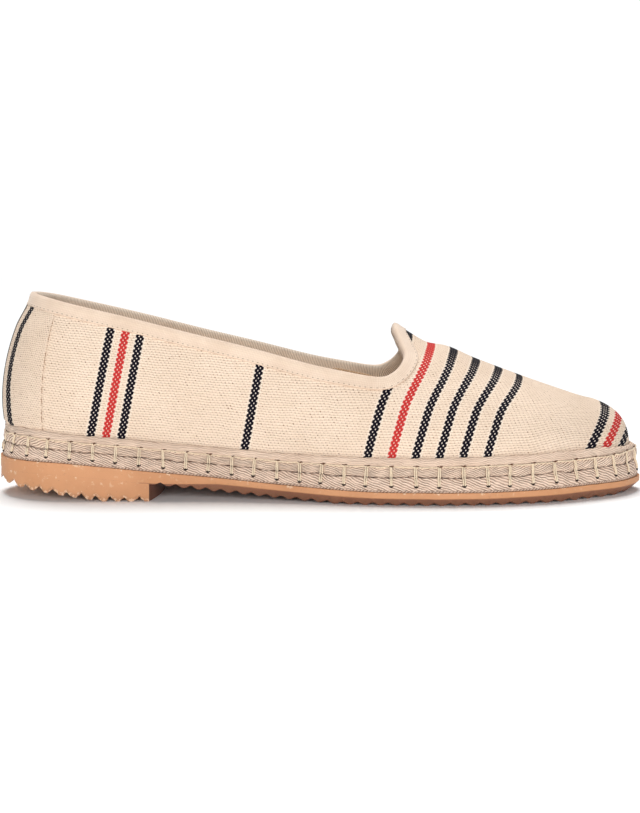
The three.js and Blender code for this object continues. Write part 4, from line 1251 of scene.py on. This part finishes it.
def outsole_rubber():
    t = np.concatenate([np.linspace(0, 3, 60)[:-1], np.linspace(3, LAST - 1.4, 620)[:-1],
                        np.linspace(LAST - 1.4, LAST, 90)])
    insets = np.array([0.0, 0.12, 0.25, 0.4, 0.55, 0.7, 0.85, 1.0])
    ripples_from = HEEL_LENGTH + RIPPLE_START
    halves = {}
    for side in (-1, 1):
        tau = t if side < 0 else TURN - t
        bevel = np.maximum(EDGE, BEVEL * col("bevel", t))
        top, bottom = outsole_top(t), outsole_bottom(t)
        upright = np.clip(1.6 * col("bevel", t), 0, 1)
        foot = mix(bottom + EDGE, top - SIDE_FACE, upright)
        sharp = smooth((HEEL_LENGTH - 2 - col("along", t) * LENGTH) / 3)
        bevel, foot = bevel * (1 - sharp) + 0.02 * sharp, mix(foot, bottom + 0.02, sharp)
        # marks of each row: glue flecks, and painted shade on the bevel and the underside
        rows, marks = [], []
        trim = end_trim(tau)
        x, y, _, _ = edge(tau, trim)
        rows.append(np.stack([x, y, top], axis=-1))
        marks.append((1.0, 0.0))
        rows.append(np.stack([x, y, mix(top, foot, 0.5)], axis=-1))
        marks.append((0.3, 0.0))
        burr = 0.16 * bumpy(LOOP_RUN[np.searchsorted(LOOP_T, tau).clip(0, len(LOOP_T) - 1)], 31 + side, 1.3)
        for k in insets:
            x, y, _, _ = edge(tau, trim + bevel * k)
            low = mix(foot, bottom, k ** 0.9)
            under = outsole_bottom(section_at(np.clip(x, 0, LENGTH - 0.01)))
            cut = under + comb(x, ripples_from, LENGTH - BEVEL * 1.45, RIPPLE_PITCH, RIPPLE_DEPTH)
            torn = low + burr * (1 - sharp) * (0.2 < k < 0.9)
            z = np.maximum(torn, np.where(x > ripples_from, cut, 0))
            rows.append(np.stack([x, y, z], axis=-1))
            marks.append((0.0, 0.0 if k == 0 else 1.0))
        halves[side] = rows, marks
    lateral, medial = halves[-1][0], halves[1][0]
    rows = list(lateral)
    marks = list(halves[-1][1])
    for share in (0.2, 0.4, 0.6, 0.8):
        rows.append(mix(lateral[-1], medial[-1], share))
        marks.append((0.0, 1.0))
    rows += medial[::-1]
    marks += halves[1][1][::-1]
    grid = np.stack(rows, axis=1)
    n, m = grid.shape[:2]
    field = np.zeros((n, m, 3))
    field[..., :2] = np.array(marks)[None, :, :]
    return make("outsole_rubber", grid, grid_faces(n, m, wrap_m=True), RUBBER, ["outsole"],
                {"flecks_shade_and_burrs": field}, CRISP)


def heel_block():
    breast = float(section_at(np.array(HEEL_LENGTH)))
    t = np.concatenate([np.linspace(0, 2.2, 110)[:-1], np.linspace(2.2, breast, 150)])
    flat = HEEL_LENGTH - HEEL_FLAT
    ground = lambda x: HEEL_SPRING * np.maximum(0, flat - x) / flat
    ends = [edge(t, end_trim(t))[:2], edge(TURN - t, end_trim(t))[:2]]
    tucked = [edge(t, end_trim(t) + 0.12)[:2], edge(TURN - t, end_trim(t) + 0.12)[:2]]
    shares = np.linspace(0, 1, 15)
    lower, upper = [], []
    for share in shares:
        x = mix(ends[0][0], ends[1][0], share)
        y = mix(ends[0][1], ends[1][1], share)
        straight = x
        x = x + BREAST_BULGE * math.sin(math.pi * share) * smooth((x - HEEL_LENGTH + 8) / 8)
        burr = 0.45 * bumpy(x + 300 * share, 47, 0.7) if share in (0.0, 1.0) else 0.0
        cut = comb(x, HEEL_RIPPLE_START, HEEL_LENGTH, HEEL_RIPPLE_PITCH, HEEL_RIPPLE_DEPTH,
                   HEEL_RIPPLE_LAND)
        lower.append(np.stack([x, y, ground(x) + np.maximum(0, cut + burr * (cut > 0))], axis=-1))
        upper.append(np.stack([mix(tucked[0][0], tucked[1][0], share) + x - straight,
                               mix(tucked[0][1], tucked[1][1], share), outsole_bottom(t) + 0.2], axis=-1))
    sides = lambda k: [mix(upper[k], lower[k], s) for s in (0.0, 0.25, 0.5, 0.75)]
    rows = sides(0) + lower + sides(-1)[::-1] + upper[1:-1][::-1]
    # marks: glue flecks, painted shade, burrs; the ripple rows carry half the painted shade
    marks = [(1, 0, 0), (0.5, 0, 0), (0.1, 0, 0), (0, 0, 0.3)] + [(0, 0.5, 1.0)] * 15 + [
        (0, 0, 0.3), (0.1, 0, 0), (0.5, 0, 0), (1, 0, 0)]
    marks += [(0, 0, 0)] * 13
    grid = np.stack(rows, axis=1)
    grid = np.concatenate([grid, grid[-1:] + np.array([0.03, 0.0, 0.0])])
    n, m = grid.shape[:2]
    field = np.zeros((n, m, 3))
    field[...] = np.array(marks)[None, :, :]
    # painted shade: the breast face is darkened because it lies in shade
    field[-1] = (0, 1.4, 0)  # the breast is darker than the sides
    faces = [tuple(f) for f in grid_faces(n, m, wrap_m=True)]
    # Front face: bottom row against top row
    last = (n - 1) * m
    bottom = [last + 4 + k for k in range(15)]
    top = [last + (m - k) % m for k in range(15)]
    faces.append((*range(bottom[0], last - 1, -1), top[1], bottom[1]))
    faces.append((bottom[13], top[13], *range(bottom[14] + 4, bottom[14] - 1, -1)))
    for k in range(1, 13):
        faces.append((bottom[k], top[k], top[k + 1], bottom[k + 1]))
    return make("heel_block", grid, faces, RUBBER, ["heel_lift"], {"flecks_shade_and_burrs": field}, CRISP)


upper_canvas()
collar_band()
facing()
collar_braid()
backstay_panel()
tape_platform()
welt_fold()
stitches()
outsole_rubber()
heel_block()

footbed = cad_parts["insole"]
for slot in footbed.material_slots:
    slot.material = FOOTBED


# Floor, light and camera

def floor():
    bpy.ops.mesh.primitive_plane_add(size=6.0, location=(0, 0, 0))
    plane = bpy.context.object
    plane.name = "floor"
    s = Shade("floor_white")
    plane.data.materials.append(s.finish(linear(254, 254, 254), 0.9, specular=0.0))


def light(name, place, aim, size, power):
    data = bpy.data.lights.new(name, "AREA")
    data.shape = "RECTANGLE"
    data.size, data.size_y = size
    data.energy = power
    lamp = bpy.data.objects.new(name, data)
    lamp.location = place
    lamp.rotation_euler = (Vector(aim) - Vector(place)).to_track_quat("-Z", "Y").to_euler()
    bpy.context.scene.collection.objects.link(lamp)


def sun(name, direction, spread, power):
    data = bpy.data.lights.new(name, "SUN")
    data.energy = power
    data.angle = math.radians(spread)
    lamp = bpy.data.objects.new(name, data)
    lamp.rotation_euler = Vector(direction).to_track_quat("-Z", "Y").to_euler()
    bpy.context.scene.collection.objects.link(lamp)


floor()
sun("key", (0.06, -0.42, -1.0), 40, 3.1)
light("front", (0.04, -1.3, 0.38), (0, 0, 0.03), (1.5, 0.5), 12.7)

world = bpy.data.worlds.new("studio")
world.use_nodes = True
sky = world.node_tree.nodes["Background"]
sky.inputs[0].default_value = (0.8, 0.92, 1, 1)
sky.inputs[1].default_value = 0.13
bright = world.node_tree.nodes.new("ShaderNodeBackground")
bright.inputs[0].default_value = (1, 1, 1, 1)
bright.inputs[1].default_value = 1.1
seen = world.node_tree.nodes.new("ShaderNodeLightPath")
choice = world.node_tree.nodes.new("ShaderNodeMixShader")
join = world.node_tree.links.new
join(seen.outputs["Is Camera Ray"], choice.inputs[0])
join(sky.outputs[0], choice.inputs[1])
join(bright.outputs[0], choice.inputs[2])
join(choice.outputs[0], world.node_tree.nodes["World Output"].inputs[0])
bpy.context.scene.world = world
bpy.context.scene.view_settings.view_transform = "Standard"

lens = bpy.data.cameras.new("camera")
lens.sensor_width = 36.0
lens.lens = 78.16
camera = bpy.data.objects.new("camera", lens)
camera.location = (0.0, -0.700, 0.1047)
camera.rotation_euler = Euler((math.radians(84.2), 0, 0))
bpy.context.scene.collection.objects.link(camera)
bpy.context.scene.camera = camera
